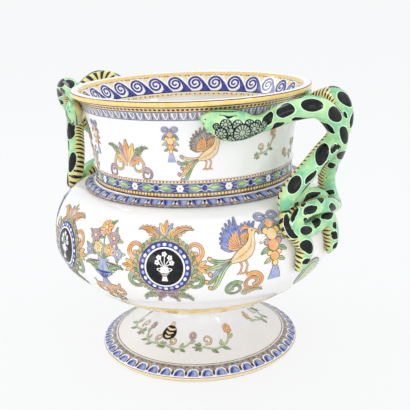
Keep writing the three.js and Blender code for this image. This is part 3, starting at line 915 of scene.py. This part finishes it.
def belt_border(painting, wall):
    """On the belt: rosettes, stars and leaves on a blue ground between two gold pearl lines."""
    low = sizes().shoulder_top + COLLAR_HEIGHT
    painting.bands(
        wall, low, ("brown", 0.3, 1.6), ("umber", 1.5, 5.2), ("steel", 5.2, 14.2), ("brown", 5, 5.6, 1),
        ("line", 13.9, 14.4, 1), ("ochre", 14.2, 17.8),
    )

    def pearls(p):
        b = p.brush(wall, 0, low + 3.4)
        b.dot("yellow", 0, 0, 1.25, 1.3)
        b.dot("umber", 1.7, 12.6, 0.85, 1.1)
        b.dot("white", 0, 12.6, 0.8, 0.9)

    painting.around(192, pearls)

    def unit(p):
        b = p.brush(wall, 0, low + 9.7)
        for m in b.both():
            for y, x in ((0, 6.4), (2.3, 5.8), (-2.3, 5.8)):
                m.stroke("cobalt", [(x - 3, y * 0.7), (x + 2.8, y * 1.6)], 1.8, 0.9)
            m.stroke("green", [(8.4, 0), (13.8, 0.3), (19.8, 0)], 1.4, 6.6, 1.2, layer=2)
            m.stroke("leaf", [(10, 0.2), (14, 0.4), (18, 0)], 0.7, 2.6, 0.7, layer=3)
            for y in (3, -3):
                m.stroke("cobalt", [(23.4, 0), (21.4, y * 0.8), (18, y * 1.25)], 2.6, 1.9, 0.7)
                m.stroke("white", [(15.4, y * 1.15), (19.4, y * 0.55), (22.6, y * 0.95)], 0.4, 0.8, 0.4, layer=2)
        for k in range(6):
            a = math.tau * k / 6
            b.dot("white", 2.1 * math.cos(a), 2.1 * math.sin(a), 1.7, layer=2)
        b.dot("lilac", 0, 0, 0.9, layer=3)
        b.dot("cobalt", 23.4, 0, 1.4, 2.4, layer=2)

    painting.around(14, unit, 61.6)


def collar_border(painting, wall):
    """On the collar: blue leaf tips edged with white on a brown ground, dark drops between them."""
    low = sizes().shoulder_top
    painting.bands(
        wall, low, ("umber", 1.2, 5.5), ("brown", 0.3, 1.2),
    )

    def tip(p):
        b = p.brush(wall, 0, low + 3.4)
        b.stroke("white", [(0, 5.8), (0, 1), (0, -5.4)], 13.6, 13.2, 11.8, 6.4, layer=1)
        b.stroke("blue", [(0, 5.6), (0, 1), (0, -4.1)], 11, 10.6, 9, 4.4, layer=2)
        b.stroke("cobalt", [(-3.6, 5.2), (-2.9, 1.4), (-1.2, -3)], 2.2, 2.4, 1, layer=3)
        b.stroke("sky", [(1.4, 4), (1.6, 1), (1, -2.2)], 3, 3.4, 1.2, layer=3)
        b.dot("black", 7.1, 2.8, 1.3, 2.2, layer=2)
        b.dot("umber", 7.1, -3.4, 1.6, 1.9, layer=2)
        b.dot("green", 7.1, -3.6, 0.9, 0.8, layer=3)

    painting.around(51, tip, 60.1)


def foot_border(painting, wall):
    """On the foot: blue arches edged with white on a brown-grey ground, inside a yellow edge."""
    painting.bands(
        wall, 0, ("straw", 0.5, 5.6), ("line", 5.7, 6.1), ("stone", 8.2, 12.5), ("stone", 12.78, 13),
    )

    def arch(p):
        b = p.brush(wall, 0, 6.9)
        b.stroke("white", [(0, -0.9), (0, 5), (0, 9.8)], 14, 13.4, 12, 6.4, layer=1)
        b.stroke("blue", [(0, 0.2), (0, 4.6), (0, 8.5)], 11, 10.6, 9.2, 4.2, layer=2)
        b.stroke("cobalt", [(-3.4, 0.6), (-3, 3.6), (-1.4, 6.8)], 2.4, 2.6, 1, layer=3)
        b.stroke("sky", [(1.6, 1), (1.8, 3.6), (1.2, 6.2)], 2.6, 3.2, 1, layer=3)
        b.stroke("brown", [(7.1, 1.4), (7.1, 4.6), (7.1, 7.4)], 1.6, 3, 0.8, layer=2)

    painting.around(46, arch, 66.6)
    painting.around(92, lambda p: p.brush(wall, 0, 11.6).dot("line", 0, 0, 1.5, 0.8))


# Motifs -------------------------------------------------------------------------------------------

def curl(b, paint, x, y, start, turns, radius, wide, layer=1):
    """A scroll that winds in from its thick end to a bud."""
    points = spiral(x, y, start, [radius * s for s in (1, 0.96, 0.84, 0.68, 0.5, 0.34)], turns)
    b.edged(paint, points, *(wide * s for s in (1, 0.95, 0.8, 0.62, 0.45, 0.4)), layer=layer)
    b.bead(paint, *points[-1], wide * 0.42, layer=layer)


def leaves(b, paints, points, size, layer=1):
    """Pairs of leaves along a line, as on a laurel wreath."""
    line = [Vector(p) for p in points]
    count = max(2, round(sum((q - p).length for p, q in zip(line, line[1:])) / (size * 0.62)))
    for i in range(count):
        share = (i + 0.5) / count
        p = along_rows(line, share)
        step = heading(line, share, 0.02)
        for side in (1, -1):
            m = b.at(p.x, p.y, math.degrees(math.atan2(step.y, step.x)) + 36 * side)
            m.edged(paints[(i + (side > 0)) % len(paints)], [(0, 0), (size / 2, 0), (size, 0)],
                    0.4, size * 0.4, 0.2, edge=0.4, layer=layer)


def fan(b, paints, size, spread=150, count=7, fat=0.24, layer=1):
    """Leaves or feathers spread from one point, the middle one the longest and its neighbours under it."""
    for k in sorted(range(count), key=lambda k: -abs(2 * k - count + 1)):
        far = abs(2 * k / (count - 1) - 1)
        long = size * (1 - 0.3 * far)
        m = b.at(turn=90 + spread * (k / (count - 1) - 0.5))
        m.edged(paints[k % len(paints)], [(size * 0.1, 0), (long * 0.6, 0), (long, 0)],
                size * 0.08, size * fat, size * 0.04, layer=layer + 2 * (1 - far))


def acanthus(b, paints, long, layer=1):
    """A lobed leaf along x whose tip bends over."""
    spine = [Vector((long * x, long * y)) for x, y in ((0, 0), (0.35, 0.06), (0.7, 0.03), (1, -0.16))]
    for k in range(5):
        p = along_rows(spine, 0.1 + 0.17 * k)
        for side in (1, -1):
            lobe = long * (0.3 - 0.035 * k)
            m = b.at(p.x, p.y, (64 - 9 * k) * side)
            m.edged(paints[(k + (side > 0)) % len(paints)], [(0, 0), (lobe * 0.6, 0), (lobe, -lobe * 0.12 * side)],
                    lobe * 0.3, lobe * 0.5, lobe * 0.1, layer=layer)
    b.edged(paints[0], spine, long * 0.1, long * 0.13, long * 0.1, long * 0.03, layer=layer + 2)


def blossom(b, paint, radius, petals=6, heart="yellow", layer=2):
    """A flower seen from the front."""
    for k in range(petals):
        m = b.at(turn=360 * k / petals + 15)
        m.edged(paint, [(radius * 0.2, 0), (radius * 0.62, 0), (radius, 0)],
                radius * 0.3, radius * 0.72, radius * 0.34, edge=0.4, layer=layer)
    b.bead(heart, 0, 0, radius * 0.26, edge=0.4, layer=layer + 2)


def urn(b, paint, band, high, layer=1):
    """A two-handled urn that stands on y = 0."""
    profile = [high * s for s in (0.42, 0.36, 0.12, 0.1, 0.34, 0.62, 0.74, 0.7, 0.4, 0.26, 0.26, 0.5)]
    handle = [(high * x, high * y) for x, y in ((0.3, 0.66), (0.52, 0.84), (0.16, 0.9))]
    for m in b.both():
        m.stroke("white" if paint == "white" else "line", handle,
                 high * 0.06, high * 0.07, high * 0.05, layer=layer)
    b.edged(paint, [(0, high * k / 4) for k in range(5)], *profile, layer=layer)
    b.stroke(band, [(-high * 0.33, high * 0.56), (0, high * 0.52), (high * 0.33, high * 0.56)],
             high * 0.05, high * 0.09, high * 0.05, layer=layer + 2)
    for k in range(-2, 3):
        b.stroke(band, [(high * 0.03 * k, high * 0.3), (high * 0.09 * k, high * 0.46)],
                 high * 0.02, high * 0.05, layer=layer + 2)


def bow(b, paint, size, layer=1):
    """A ribbon tied in a bow with two ends that flutter."""
    loop = ((0, 0), (0.55, 0.42), (1, 0.3), (0.95, -0.1), (0.4, -0.1), (0, 0))
    for m in b.both():
        m.edged(paint, [(0, 0), (size * 0.4, -size * 0.5), (size * 0.95, -size * 0.9), (size * 1.1, -size * 1.5)],
                size * 0.1, size * 0.26, size * 0.2, size * 0.3, layer=layer)
        m.edged(paint, [(size * x, size * y) for x, y in loop],
                size * 0.1, size * 0.24, size * 0.3, size * 0.3, size * 0.2, size * 0.1, layer=layer + 1)
    b.bead(paint, 0, 0, size * 0.17, layer=layer + 3)


def drop(b, long, ribbon="sky"):
    """Fruit and leaves that hang from a bow and end in a tassel."""
    bow(b, ribbon, 8, layer=3)
    count = round(long / 8)
    for i in range(count):
        y, r = -5 - 8 * i, 2.6 + 1.5 * math.sin(math.pi * (i + 0.5) / count)
        for m in b.both(0, y):
            m.at(r * 0.6, -1, -28).edged(("green", "leaf")[i % 2], [(0, 0), (r * 1.1, 0), (r * 2.2, 0)],
                                         0.8, r * 0.85, 0.3)
            m.bead(("mauve", "yellow")[i % 2], r * 1.1, 2.6, r * 0.55, layer=2)
        b.bead(("orange", "ochre", "orange")[i % 3], 0, y, r, r * 1.05, layer=3)
    foot = -5 - 8 * count
    b.bead("yellow", 0, foot + 3, 2, layer=3)
    for k in range(-3, 4):
        b.edged(ribbon, [(k * 0.3, foot + 2), (k * 0.9, foot - 4), (k * 1.3, foot - 10)], 0.6, 1.2, 1.5, edge=0.35)


def bird(b, body, wing, covert, tail, spots="orange"):
    """A long-tailed bird that looks to the right with its wings up."""
    for k in range(5):
        tip = (-24 - 3 * (k % 2), -4 - 6 * k)
        b.edged(tail[k % len(tail)], [(-6, -4), (-14, -6 - k), tip, (tip[0] - 3, tip[1] + 3)], 1.6, 3.2, 2.6, 0.8)
        b.bead(spots, tip[0] - 1.5, tip[1] + 1.5, 1.5, layer=3)
    for x, y, lean, reach, layer in ((3.5, 5, 34, 0.82, 1), (-1.5, 3, 0, 1, 4)):
        for k in range(8):
            m = b.at(x, y, 92 + 11 * k - lean)
            far = reach * (26 - 1.5 * k)
            m.edged(wing, [(3, 0), (far * 0.6, 1), (far, 0)], 2.2, 3.6, 0.8, layer=layer)
        for k in range(6):
            m = b.at(x, y, 98 + 13 * k - lean)
            m.edged(covert, [(1, 0), (reach * 8, 0.6), (reach * (14 - k), 0)], 1.8, 3.4, 1.4, layer=layer + 1)
    b.edged(body, [(-9, -6), (-3, -3), (4, 1), (8, 7), (9, 13)], 2.4, 8, 9.6, 6, 4.2, layer=6)
    for k in range(4):
        b.stroke(spots, [(-3 + 3 * k, -4.5 + 2.6 * k), (-0.8 + 3 * k, -3.4 + 2.6 * k)], 0.5, 1.2, layer=8)
    b.bead(body, 9.6, 15, 3, layer=6)
    b.edged("orange", [(12, 15.6), (14.6, 15), (16, 13)], 2, 1.4, 0.3, layer=6)
    b.dot("black", 10.4, 15.8, 0.65, layer=8)
    for k in range(3):
        b.edged(spots, [(8.6, 17.4), (6.6 - 1.6 * k, 20 - k), (4.8 - 2.2 * k, 20.6 - 2.2 * k)],
                0.7, 1, 1.4, edge=0.3, layer=5)
    for x in (-2.5, 2):
        b.edged("orange", [(x, -6), (x + 1.5, -10), (x, -15)], 1.4, 0.9, 0.9, edge=0.35)
        for toe in (-2.6, 0.4, 3):
            b.edged("orange", [(x, -15), (x + toe, -17)], 0.8, 0.4, edge=0.3)


def roundel(b, radius=19):
    """A dark medallion with a white urn, in a blue egg ring and a laurel wreath with scrolls."""
    turns = [math.radians(15 * k) for k in range(13)]
    arc = [(math.sin(t) * (radius + 4), -math.cos(t) * (radius + 4)) for t in turns]
    for m in b.both():
        curl(m, "orange", radius + 5, 13, 250, 1.15, 7, 3.6)
        curl(m, "green", radius + 4.5, -12, 110, -1.2, 7, 3.8)
        fan(m.at(radius + 7, 0, -90), ("orange", "yellow"), 11, 130, 5)
        acanthus(m.at(5, -radius - 6, -24), ("green", "leaf"), 20)
        acanthus(m.at(5, radius + 6, 24), ("orange", "ochre"), 20)
        leaves(m, ("green", "leaf", "ochre"), arc, 5.4, layer=3)
    fan(b.at(0, radius + 5), ("orange", "yellow", "sky"), 15, 150, 7)
    bow(b.at(0, -radius - 6), "mauve", 8, layer=4)
    b.bead("cobalt", 0, 0, radius + 2, layer=5)
    eggs = 24
    for k in range(eggs):
        b.at(turn=360 * k / eggs).dot("sky" if k % 2 else "white", radius - 0.4, 0, 1.3, 1.7, layer=7)
    b.dot("white", 0, 0, radius - 2.4, layer=7)
    b.dot("black", 0, 0, radius - 3.8, layer=8)
    urn(b.at(0, -radius * 0.58), "white", "stone", radius * 0.62, layer=9)
    for turn, long in ((-58, 7), (-30, 9), (0, 10.5), (30, 9), (58, 7)):
        m = b.at(0, radius * 0.02, turn)
        m.stroke("white", [(0, 0), (0, long * 0.5), (0.4, long)], 0.5, 0.7, 0.5, layer=9)
        for k in range(5):
            m.dot("white", 1.3 * math.cos(k * 1.257), long + 1.3 * math.sin(k * 1.257), 0.95, layer=9)


def bouquet(b, vase="sky", band="cobalt"):
    """An urn of flowers on a scrolled stand."""
    for m in b.both(0, -22):
        curl(m, "orange", 7.5, -7, 150, -1.3, 6, 2.8)
        curl(m, "green", 5.5, -17, 90, 1.2, 4.4, 2.2)
        m.edged("ochre", [(0, -2), (5, -4), (10.5, -1.5), (12, 3)], 2.2, 2, 1.5, 0.8)
        acanthus(m.at(3, 12, 22), ("green", "leaf"), 15)
    b.edged("orange", [(0, -46), (0, -34), (0, -22)], 0.8, 3, 5)
    b.bead("yellow", 0, -35, 2.4, layer=3)
    urn(b.at(0, -22), vase, band, 21, layer=3)
    stems = (
        (0, 22, "orange", 6), (-9, 15, "mauve", 5), (9, 15, "mauve", 5), (-5, 7, "yellow", 4.4),
        (5.5, 6, "orange", 4.4), (-13, 4, "sky", 4), (13, 4, "sky", 4),
    )
    for x, y, paint, radius in stems:
        b.edged("green", [(0, -2), (x * 0.4, y * 0.5), (x, y)], 0.7, 0.6, 0.6, edge=0.25)
    for x, y, paint, radius in reversed(stems):
        leaf = [(radius * far, 0) for far in (0.6, 1.1, 1.7)]
        for k in range(3):
            m = b.at(x, y, 100 * k + 200 + 5 * x)
            m.edged("leaf" if k % 2 else "green", leaf, 0.6, 2.4, 0.3, edge=0.35, layer=2)
        blossom(b.at(x, y), paint, radius, heart="yellow" if paint != "yellow" else "orange", layer=4)


def spray(b, paint, long):
    """A curling leafy stem with a flower."""
    points = [(0, 0), (long * 0.3, -long * 0.12), (long * 0.62, 0), (long * 0.8, long * 0.24)]
    b.edged("leaf", points, 1.4, 1.8, 1.4, 0.8, edge=0.35)
    curl(b, "ochre", long * 0.14, long * 0.16, 240, 1.1, long * 0.12, 1.6)
    for share, turn in ((0.2, -60), (0.45, -48), (0.45, 70), (0.75, 20)):
        p = along_rows([Vector(q) for q in points], share)
        b.at(p.x, p.y, turn).edged("green" if turn < 0 else "leaf", [(0, 0), (long * 0.1, 0), (long * 0.2, 0)],
                                   0.8, long * 0.09, 0.3, edge=0.4)
    blossom(b.at(long * 0.8, long * 0.28), paint, long * 0.13)
    fan(b.at(-1, 0, 90), ("leaf", "green"), long * 0.2, 140, 5)


def beside(painting, wall, level, side, angle, high=0.0, **move):
    """A brush at an angle from the middle of the front, to the right (side 1) or mirrored to the left (-1)."""
    return painting.brush(wall, 90 - angle * side, level + high, mirror=side < 0, **move)


class SNAKEVASE_OT_bowl_painting(bpy.types.Operator):
    """Paints the roundels, birds, bouquets and ribbons of the bowl"""
    bl_idname = "snakevase.bowl_painting"
    bl_label = "Bowl painting"

    def execute(self, context):
        s = sizes()
        wall = Wall(bowl_outside())
        painting = Painting()
        middle = s.belly_level + 4
        painting.band("yellow", wall, s.foot_top + 18, s.foot_top + 36)

        def half(p):
            bouquet(p.brush(wall, 90, middle + 8, scale=1.3))
            for side in (1, -1):
                spot = partial(beside, p, wall, middle, side)
                roundel(spot(24.5, 5, scale=1.14))
                bird(spot(52, 15, scale=1.2), "ochre", "blue", "orange", ("green", "leaf", "sky"))
                curl(spot(52, -15, scale=1.2), "orange", 8, 0, 130, -1.5, 8, 3.4)
                curl(spot(52, -15, scale=1.2), "green", -6, -5, 40, 1.4, 7, 3)
                acanthus(spot(52, -27, turn=8, scale=1.1), ("leaf", "orange"), 20)
                drop(spot(64.5, 41, scale=1.3), 36)
            shield = p.brush(wall, 5, middle - 26, turn=-20, scale=1.2)
            shield.bead("sage", 0, 0, 12.4, 14.2, edge=1.1)
            shield.bead("leaf", 0, 0, 9, 11, edge=0.4, layer=3)
            for k in range(-2, 3):
                shield.at(0, 4 * k).stroke("sage", [(-4.4 + abs(k), -1), (0, 0.8), (4.4 - abs(k), -1)],
                                           0.4, 1.2, 0.4, layer=5)

        painting.around(2, half)
        painting.finish("bowl")
        return {"FINISHED"}


class SNAKEVASE_OT_neck_painting(bpy.types.Operator):
    """Paints the borders of the rim, the mouth, the belt and the collar, and the birds between them"""
    bl_idname = "snakevase.neck_painting"
    bl_label = "Neck painting"

    def execute(self, context):
        painting = Painting()
        outside = Wall(neck_outside())
        rim_border(painting, outside)
        wave_border(painting, Wall(neck_inside()))
        belt_border(painting, outside)
        collar_border(painting, outside)
        middle = (sizes().shoulder_top + sizes().rim_top) / 2

        def half(p):
            b = p.brush(outside, 90, middle - 16)
            fan(b.at(0, 2), ("orange", "mauve", "yellow"), 26, 120, 7)
            for side in (1, -1):
                m = b.at(mirror=side < 0)
                curl(m, "ochre", 11, 2, 190, -1.3, 8, 2.8)
                curl(m, "mauve", 20, -6, 120, -1.2, 6, 2.2)
                acanthus(m.at(9, 12, 38), ("green", "leaf"), 17)
                spot = partial(beside, p, outside, middle, side)
                bird(spot(43, -1, scale=0.95), "ochre", "stone", "orange", ("ochre", "green", "orange"), "mauve")
                drop(spot(25, 22, scale=0.8), 26)
                spray(spot(72, -8, turn=30, scale=0.9), "orange", 34)

        painting.around(2, half)
        painting.finish("neck")
        return {"FINISHED"}


class SNAKEVASE_OT_foot_painting(bpy.types.Operator):
    """Paints the border and the sprays of the foot"""
    bl_idname = "snakevase.foot_painting"
    bl_label = "Foot painting"

    def execute(self, context):
        painting = Painting()
        wall = Wall(foot_outside())
        foot_border(painting, wall)

        def half(p):
            for side in (1, -1):
                spot = partial(beside, p, wall, 20, side)
                spray(spot(56, x=-22 * side, turn=6 * side), "orange", 48)
                spray(spot(0, x=5 * side, y=-2, turn=10 * side), "mauve", 38)
            b = p.brush(wall, 90, 27, scale=1.3)
            b.bead("black", 0, 0, 6, 6.6, edge=0.4)
            for k in range(3):
                y = -3.6 * k
                b.stroke("ochre", [(k - 4.6, y + 4), (0, y + 2.8), (4.6 - k, y + 4)], 1.2, 2, 1.2, layer=3)
            for k in range(-1, 2):
                b.at(0, 6, -24 * k).edged("ochre", [(0, 0), (0, 2), (0, 4)], 1.4, 1.8, 0.8, edge=0.35)

        painting.around(2, half)
        painting.finish("foot")
        return {"FINISHED"}


# Spots of the snakes: from a distance from the nose and a place round the body in degrees to another
# such pair, and how wide. Front is for the snake whose head lies to the front of the right handle.
FRONT_SPOTS = (
    (56, 96, 78, 34, 9), (81.6, 32, 100, 28, 13), (104, 40, 116, 66, 12), (121, 40, 140, 64, 13),
    (65.6, 352, 84, 322, 6), (93, 322, 111, 314, 7), (129, 316, 149.6, 350, 8.5), (92, 84, 107, 130, 7),
    (145.1, 36, 168, 60, 9), (130, 118, 146, 108, 7), (164, 346, 177, 2, 9), (176.5, 26, 191.5, 86, 10),
    (195.2, 357, 204.8, 27, 8), (222, 6, 224, 10, 1.6), (243.4, 26, 262.6, 346, 10.6), (210, 70, 222, 110, 7),
    (262, 70, 276, 105, 7), (317.1, 333, 326.9, 51, 6.6), (299.8, 117, 316.2, 83, 7.4), (339, 334, 344, 14, 4.4),
    (347, 338, 356, 22, 5.6), (333, 76, 348, 60, 8), (348.9, 146, 351.1, 84, 5.2), (381.1, 114, 394.9, 180, 8.8),
    (397.7, 151, 414.3, 121, 7.6), (359.3, 84, 376.7, 108, 9), (419, 60, 433, 60, 4.8), (435.5, 25, 442.5, 71, 7),
    (447.5, 107, 452.5, 45, 5.2), (183, 120, 196, 150, 7), (208, 150, 222, 126, 7), (232, 178, 246, 156, 8),
    (112, 120, 126, 140, 5), (253, 110, 262, 150, 6), (278, 40, 292, 10, 7),
)
REAR_SPOTS = (
    (112.8, 40, 126, 88, 13), (101.3, 40, 106.7, 92, 5), (128.8, 112, 142, 92, 7), (131.4, 39, 136.6, 57, 3),
    (163, 66, 172, 84, 7), (169.6, 18, 192, 72, 13), (196, 84, 210, 84, 6), (224, 54, 209, 22, 12),
    (148, 10, 160, 50, 8), (148, 80, 164, 96, 8), (178, 110, 194, 130, 7), (236, 84, 252, 98, 6),
    (262, 84, 292, 98, 6.5), (240, 20, 252, 44, 7), (300, 60, 312, 90, 7), (322, 90, 336, 70, 7),
    (345, 60, 357, 84, 7), (364, 96, 378, 118, 7), (371, 28, 387, 60, 6.5), (394.1, 54, 410, 84, 12),
    (414.6, 103, 419.4, 49, 5.8), (64, 88, 78, 110, 8), (84, 130, 98, 160, 8), (101, 172, 94, 200, 4),
    (115, 146, 103, 118, 7), (118, 160, 116, 206, 7), (132, 150, 137, 192, 6), (52, 40, 60, 70, 6),
    (150, 150, 164, 130, 8), (206, 118, 220, 140, 7),
)
LEFT_FRONT_SPOTS = (
    (96.4, 131, 115.6, 125, 11), (84, 99, 100, 101, 10), (108.6, 204, 127.4, 146, 10), (91.4, 166, 106.6, 194, 8),
    (129.4, 205, 138.6, 135, 8), (116, 96, 128, 108, 6), (66, 112, 76, 126, 6), (56, 76, 64, 60, 6),
    (110, 60, 124, 80, 9), (150, 110, 165, 130, 10), (146, 60, 160, 70, 9), (176, 84, 196, 96, 11),
    (182, 150, 196, 160, 7), (212, 60, 226, 84, 10), (214, 130, 228, 150, 9), (250, 80, 268, 96, 9),
    (284, 100, 300, 84, 9), (318, 70, 334, 84, 9), (350, 96, 366, 110, 9), (384, 70, 398, 100, 10),
    (384, 170, 396, 180, 5), (414, 90, 424, 110, 6),
)
LEFT_REAR_SPOTS = (
    (112, 84, 128, 96, 10), (140, 104, 127, 124, 7), (112, 142, 131, 118, 5), (86, 90, 100, 76, 9),
    (62, 84, 74, 60, 7), (150, 60, 164, 76, 9), (150, 130, 164, 150, 9), (192.2, 164, 211, 172, 12.4),
    (186, 172, 200, 192, 10), (184, 100, 198, 84, 9), (208, 134, 224, 140, 4), (227, 184, 248, 160, 10.5),
    (222, 84, 240, 96, 9), (248, 116, 262, 150, 6), (262, 84, 276, 100, 9), (290, 60, 304, 84, 9),
    (318, 90, 334, 80, 9), (346, 60, 362, 84, 9), (376, 96, 390, 110, 9), (404, 60, 418, 84, 8),
    (408, 140, 420, 150, 6), (434, 90, 446, 100, 5),
)
# Scales of the crown, largest last: distance from the nose, degrees from the crown's middle, radius.
CROWN = (
    (12.6, 4, 3.4), (62, -10, 2.8), (51, 28, 4), (58, -2, 4.6), (20.4, 24, 5.4), (31, 27, 5.4), (43, 27, 6),
    (19, -18, 5.8), (30, -30, 5.4), (40, -28, 5.4), (48, -22, 5.4), (53.5, -12, 4.8), (26, 6, 5.4), (47, 8, 6.4),
    (36, -2, 8.4),
)


def crown(snake, painting, middle):
    """The scaled crown on the head: overlapping round scales with dark edges and hatching."""
    for i, (run, off, radius) in enumerate(CROWN):
        brush = snake.brush(painting, run, middle + off * snake.side)
        layer = i % 2 * 1.2 if radius < 7 else 3.2
        brush.dot("black", 0, 0, radius, layer=layer)
        brush.dot("sage", 0, 0, radius - 1.2, layer=layer + 0.6)
        lines = max(5, round(radius * 1.5))
        for k in range(lines):
            tilt = math.radians(360 * k / lines)
            ends = [(math.cos(tilt) * r, math.sin(tilt) * r) for r in (radius * 0.42, radius * 0.85)]
            brush.stroke("black", ends, 0.6, 1.05, layer=layer + 1.1)
        brush.ring("black", 0, 0, radius * 0.36, 0.65, layer=layer + 1.1)


def face(snake, painting, middle):
    """Two narrow eyes under a thin dark brow, a thin mouth line and nostrils."""
    for flip in (snake.side, -snake.side):
        brush = snake.brush(painting, 21.5, middle + 56 * flip)
        brush.stroke("mint", [(-9, -0.6 * flip), (0, -1.4 * flip), (9, -0.6 * flip)], 0.6, 2.8, 0.6, layer=0)
        brow = [(-9, 1.4 * flip), (-4, 0.9 * flip), (0, 0), (4, 0.9 * flip), (9, 1.6 * flip)]
        brush.stroke("black", brow, 0.4, 0.8, 1, 0.8, 0.4, layer=1)
        brush.stroke("black", [(-4, 0.4 * flip), (0, -0.8 * flip), (4, 0.2 * flip)], 0.4, 2.2, 0.4, layer=2)
        mouth = snake.brush(painting, 12, middle + 86 * flip)
        mouth.stroke("black", [(-11, 1.5 * flip), (0, 0), (12, -0.6 * flip), (20, 0.8 * flip)],
                     0.4, 0.9, 0.9, 0.3, layer=1)
        snake.brush(painting, 2.2, middle + 24 * flip).dot("black", 0, 0, 0.7, 0.5, layer=1)


class SNAKEVASE_OT_snake_paint(bpy.types.Operator):
    """Paints the snakes' spots, crowns and eyes"""
    bl_idname = "snakevase.snake_paint"
    bl_label = "Snake paint"

    def execute(self, context):
        tables = (FRONT_SPOTS, REAR_SPOTS, LEFT_REAR_SPOTS, LEFT_FRONT_SPOTS)
        pairs = list(zip(snakes(), tables))
        for handle, pair in (("right", pairs[:2]), ("left", pairs[2:])):
            painting = Painting()
            for snake, spots in pair:
                for spot in spots:
                    snake.spot(painting, *spot)
                middle = 90 - 20 * snake.side
                crown(snake, painting, middle)
                face(snake, painting, middle)
            painting.finish(f"{handle}_snakes")
        return {"FINISHED"}


# Stage --------------------------------------------------------------------------------------------

# The backdrop's pale white and the light of the sky, as linear colours.
PALE = (0.955, 0.96, 0.965)
SKY_LIGHT = (0.95, 0.97, 1.0)
FLOOR_REACH = 30
# The soft lamps: name, place, aim and size in metres, and power in watts.
MIDDLE = (0, 0, 0.17)
LAMPS = (
    ("window", (-1.45, -0.2, 1.25), MIDDLE, (0.6, 0.45), 6),
    ("fill", (1.3, -1.2, 0.6), MIDDLE, (0.8, 1.0), 3.2),
    ("top", (0.3, 0.4, 1.9), MIDDLE, (1.2, 1.2), 3.4),
    ("side", (1.5, -0.1, 0.62), MIDDLE, (0.2, 0.28), 2.4),
    ("low", (-0.4, -1.3, 0.12), (0, 0, 0.1), (1.4, 0.2), 3),
)
# The photo's camera, fitted to the vase's circles: its place in front of the vase in metres, how far it
# looks down, to the right and askew, and how far all of that is turned round the vase, in degrees.
SENSOR_WIDTH, LENS = 36, 66.45
CAMERA_PLACE = (0, -0.7924, 0.3859)
CAMERA_TILTS = (16.19, 0.76, -1.96)
CAMERA_TURN = 36


def area_lamp(name, place, aim, size, power):
    lamp = bpy.data.lights.new(name, "AREA")
    lamp.shape, lamp.size, lamp.size_y = "RECTANGLE", *size
    lamp.energy = power
    holder = add_object(name, lamp)
    holder.location = place
    holder.rotation_euler = (Vector(aim) - Vector(place)).to_track_quat("-Z", "Y").to_euler()


def photo_camera():
    """A camera that sees the vase as the photo's does."""
    camera = bpy.data.cameras.new("photo_camera")
    camera.sensor_width, camera.lens = SENSOR_WIDTH, LENS
    camera.clip_start, camera.clip_end = 0.05, 200
    pitch, yaw, roll = (math.radians(v) for v in CAMERA_TILTS)
    ahead = Vector((math.sin(yaw) * math.cos(pitch), math.cos(yaw) * math.cos(pitch), -math.sin(pitch)))
    right = Vector((math.cos(yaw), -math.sin(yaw), 0))
    up = right.cross(ahead)
    right, up = right * math.cos(roll) + up * math.sin(roll), up * math.cos(roll) - right * math.sin(roll)
    pose = Matrix((right, up, -ahead)).transposed().to_4x4()
    pose.translation = Vector(CAMERA_PLACE)
    holder = add_object("photo_camera", camera)
    holder.matrix_world = Matrix.Rotation(math.radians(CAMERA_TURN), 4, "Z") @ pose
    return holder


class SNAKEVASE_OT_stage(bpy.types.Operator):
    """Lays the pale floor, hangs the soft lamps and sets the camera"""
    bl_idname = "snakevase.stage"
    bl_label = "Stage"

    def execute(self, context):
        scene = context.scene
        bm = bmesh.new()
        bmesh.ops.create_grid(bm, x_segments=8, y_segments=8, size=FLOOR_REACH)
        floor = add_object("floor", mesh_of(bm, "floor"))
        floor.data.materials.append(material_of("pale_paper_sheet", paper_sheet))

        world = bpy.data.worlds.new("studio")
        world.use_nodes = True
        tree = world.node_tree
        tree.nodes.clear()
        seen = add_node(tree, "LightPath").outputs["Is Camera Ray"]
        soft, white = (add_node(tree, "Background", Color=rgba(colour), Strength=1.0).outputs[0]
                       for colour in (SKY_LIGHT, PALE))
        mix = add_node(tree, "MixShader", Fac=seen, in1=soft, in2=white)
        add_node(tree, "OutputWorld", Surface=mix.outputs[0])
        scene.world = world

        for lamp in LAMPS:
            area_lamp(*lamp)
        scene.camera = photo_camera()
        scene.view_settings.view_transform = "Standard"
        return {"FINISHED"}


class SNAKEVASE_PT_panel(bpy.types.Panel):
    """Lists the vase's sizes, colours and pieces"""
    bl_idname = "SNAKEVASE_PT_panel"
    bl_label = "Snake vase"
    bl_space_type = "VIEW_3D"
    bl_region_type = "UI"
    bl_category = "Snake vase"

    def draw(self, context):
        scene = context.scene
        for group, kind in ((scene.snake_vase_sizes, SnakeVaseSizes), (scene.snake_vase_paints, SnakeVasePaints)):
            for name in kind.__annotations__:
                self.layout.prop(group, name)
        for operator in OPERATORS:
            self.layout.operator(operator.bl_idname)


OPERATORS = (
    SNAKEVASE_OT_foot, SNAKEVASE_OT_bowl, SNAKEVASE_OT_neck, SNAKEVASE_OT_snakes, SNAKEVASE_OT_snake_paint,
    SNAKEVASE_OT_bowl_painting, SNAKEVASE_OT_neck_painting, SNAKEVASE_OT_foot_painting, SNAKEVASE_OT_stage,
)
CLASSES = (SnakeVaseSizes, SnakeVasePaints, *OPERATORS, SNAKEVASE_PT_panel)


def register():
    for cls in CLASSES:
        bpy.utils.register_class(cls)
    bpy.types.Scene.snake_vase_sizes = PointerProperty(type=SnakeVaseSizes)
    bpy.types.Scene.snake_vase_paints = PointerProperty(type=SnakeVasePaints)


def unregister():
    del bpy.types.Scene.snake_vase_paints
    del bpy.types.Scene.snake_vase_sizes
    for cls in reversed(CLASSES):
        bpy.utils.unregister_class(cls)


def main():
    register()
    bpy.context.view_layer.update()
    for operator in OPERATORS:
        group, name = operator.bl_idname.split(".")
        getattr(getattr(bpy.ops, group), name)()


if __name__ == "__main__":
    main()
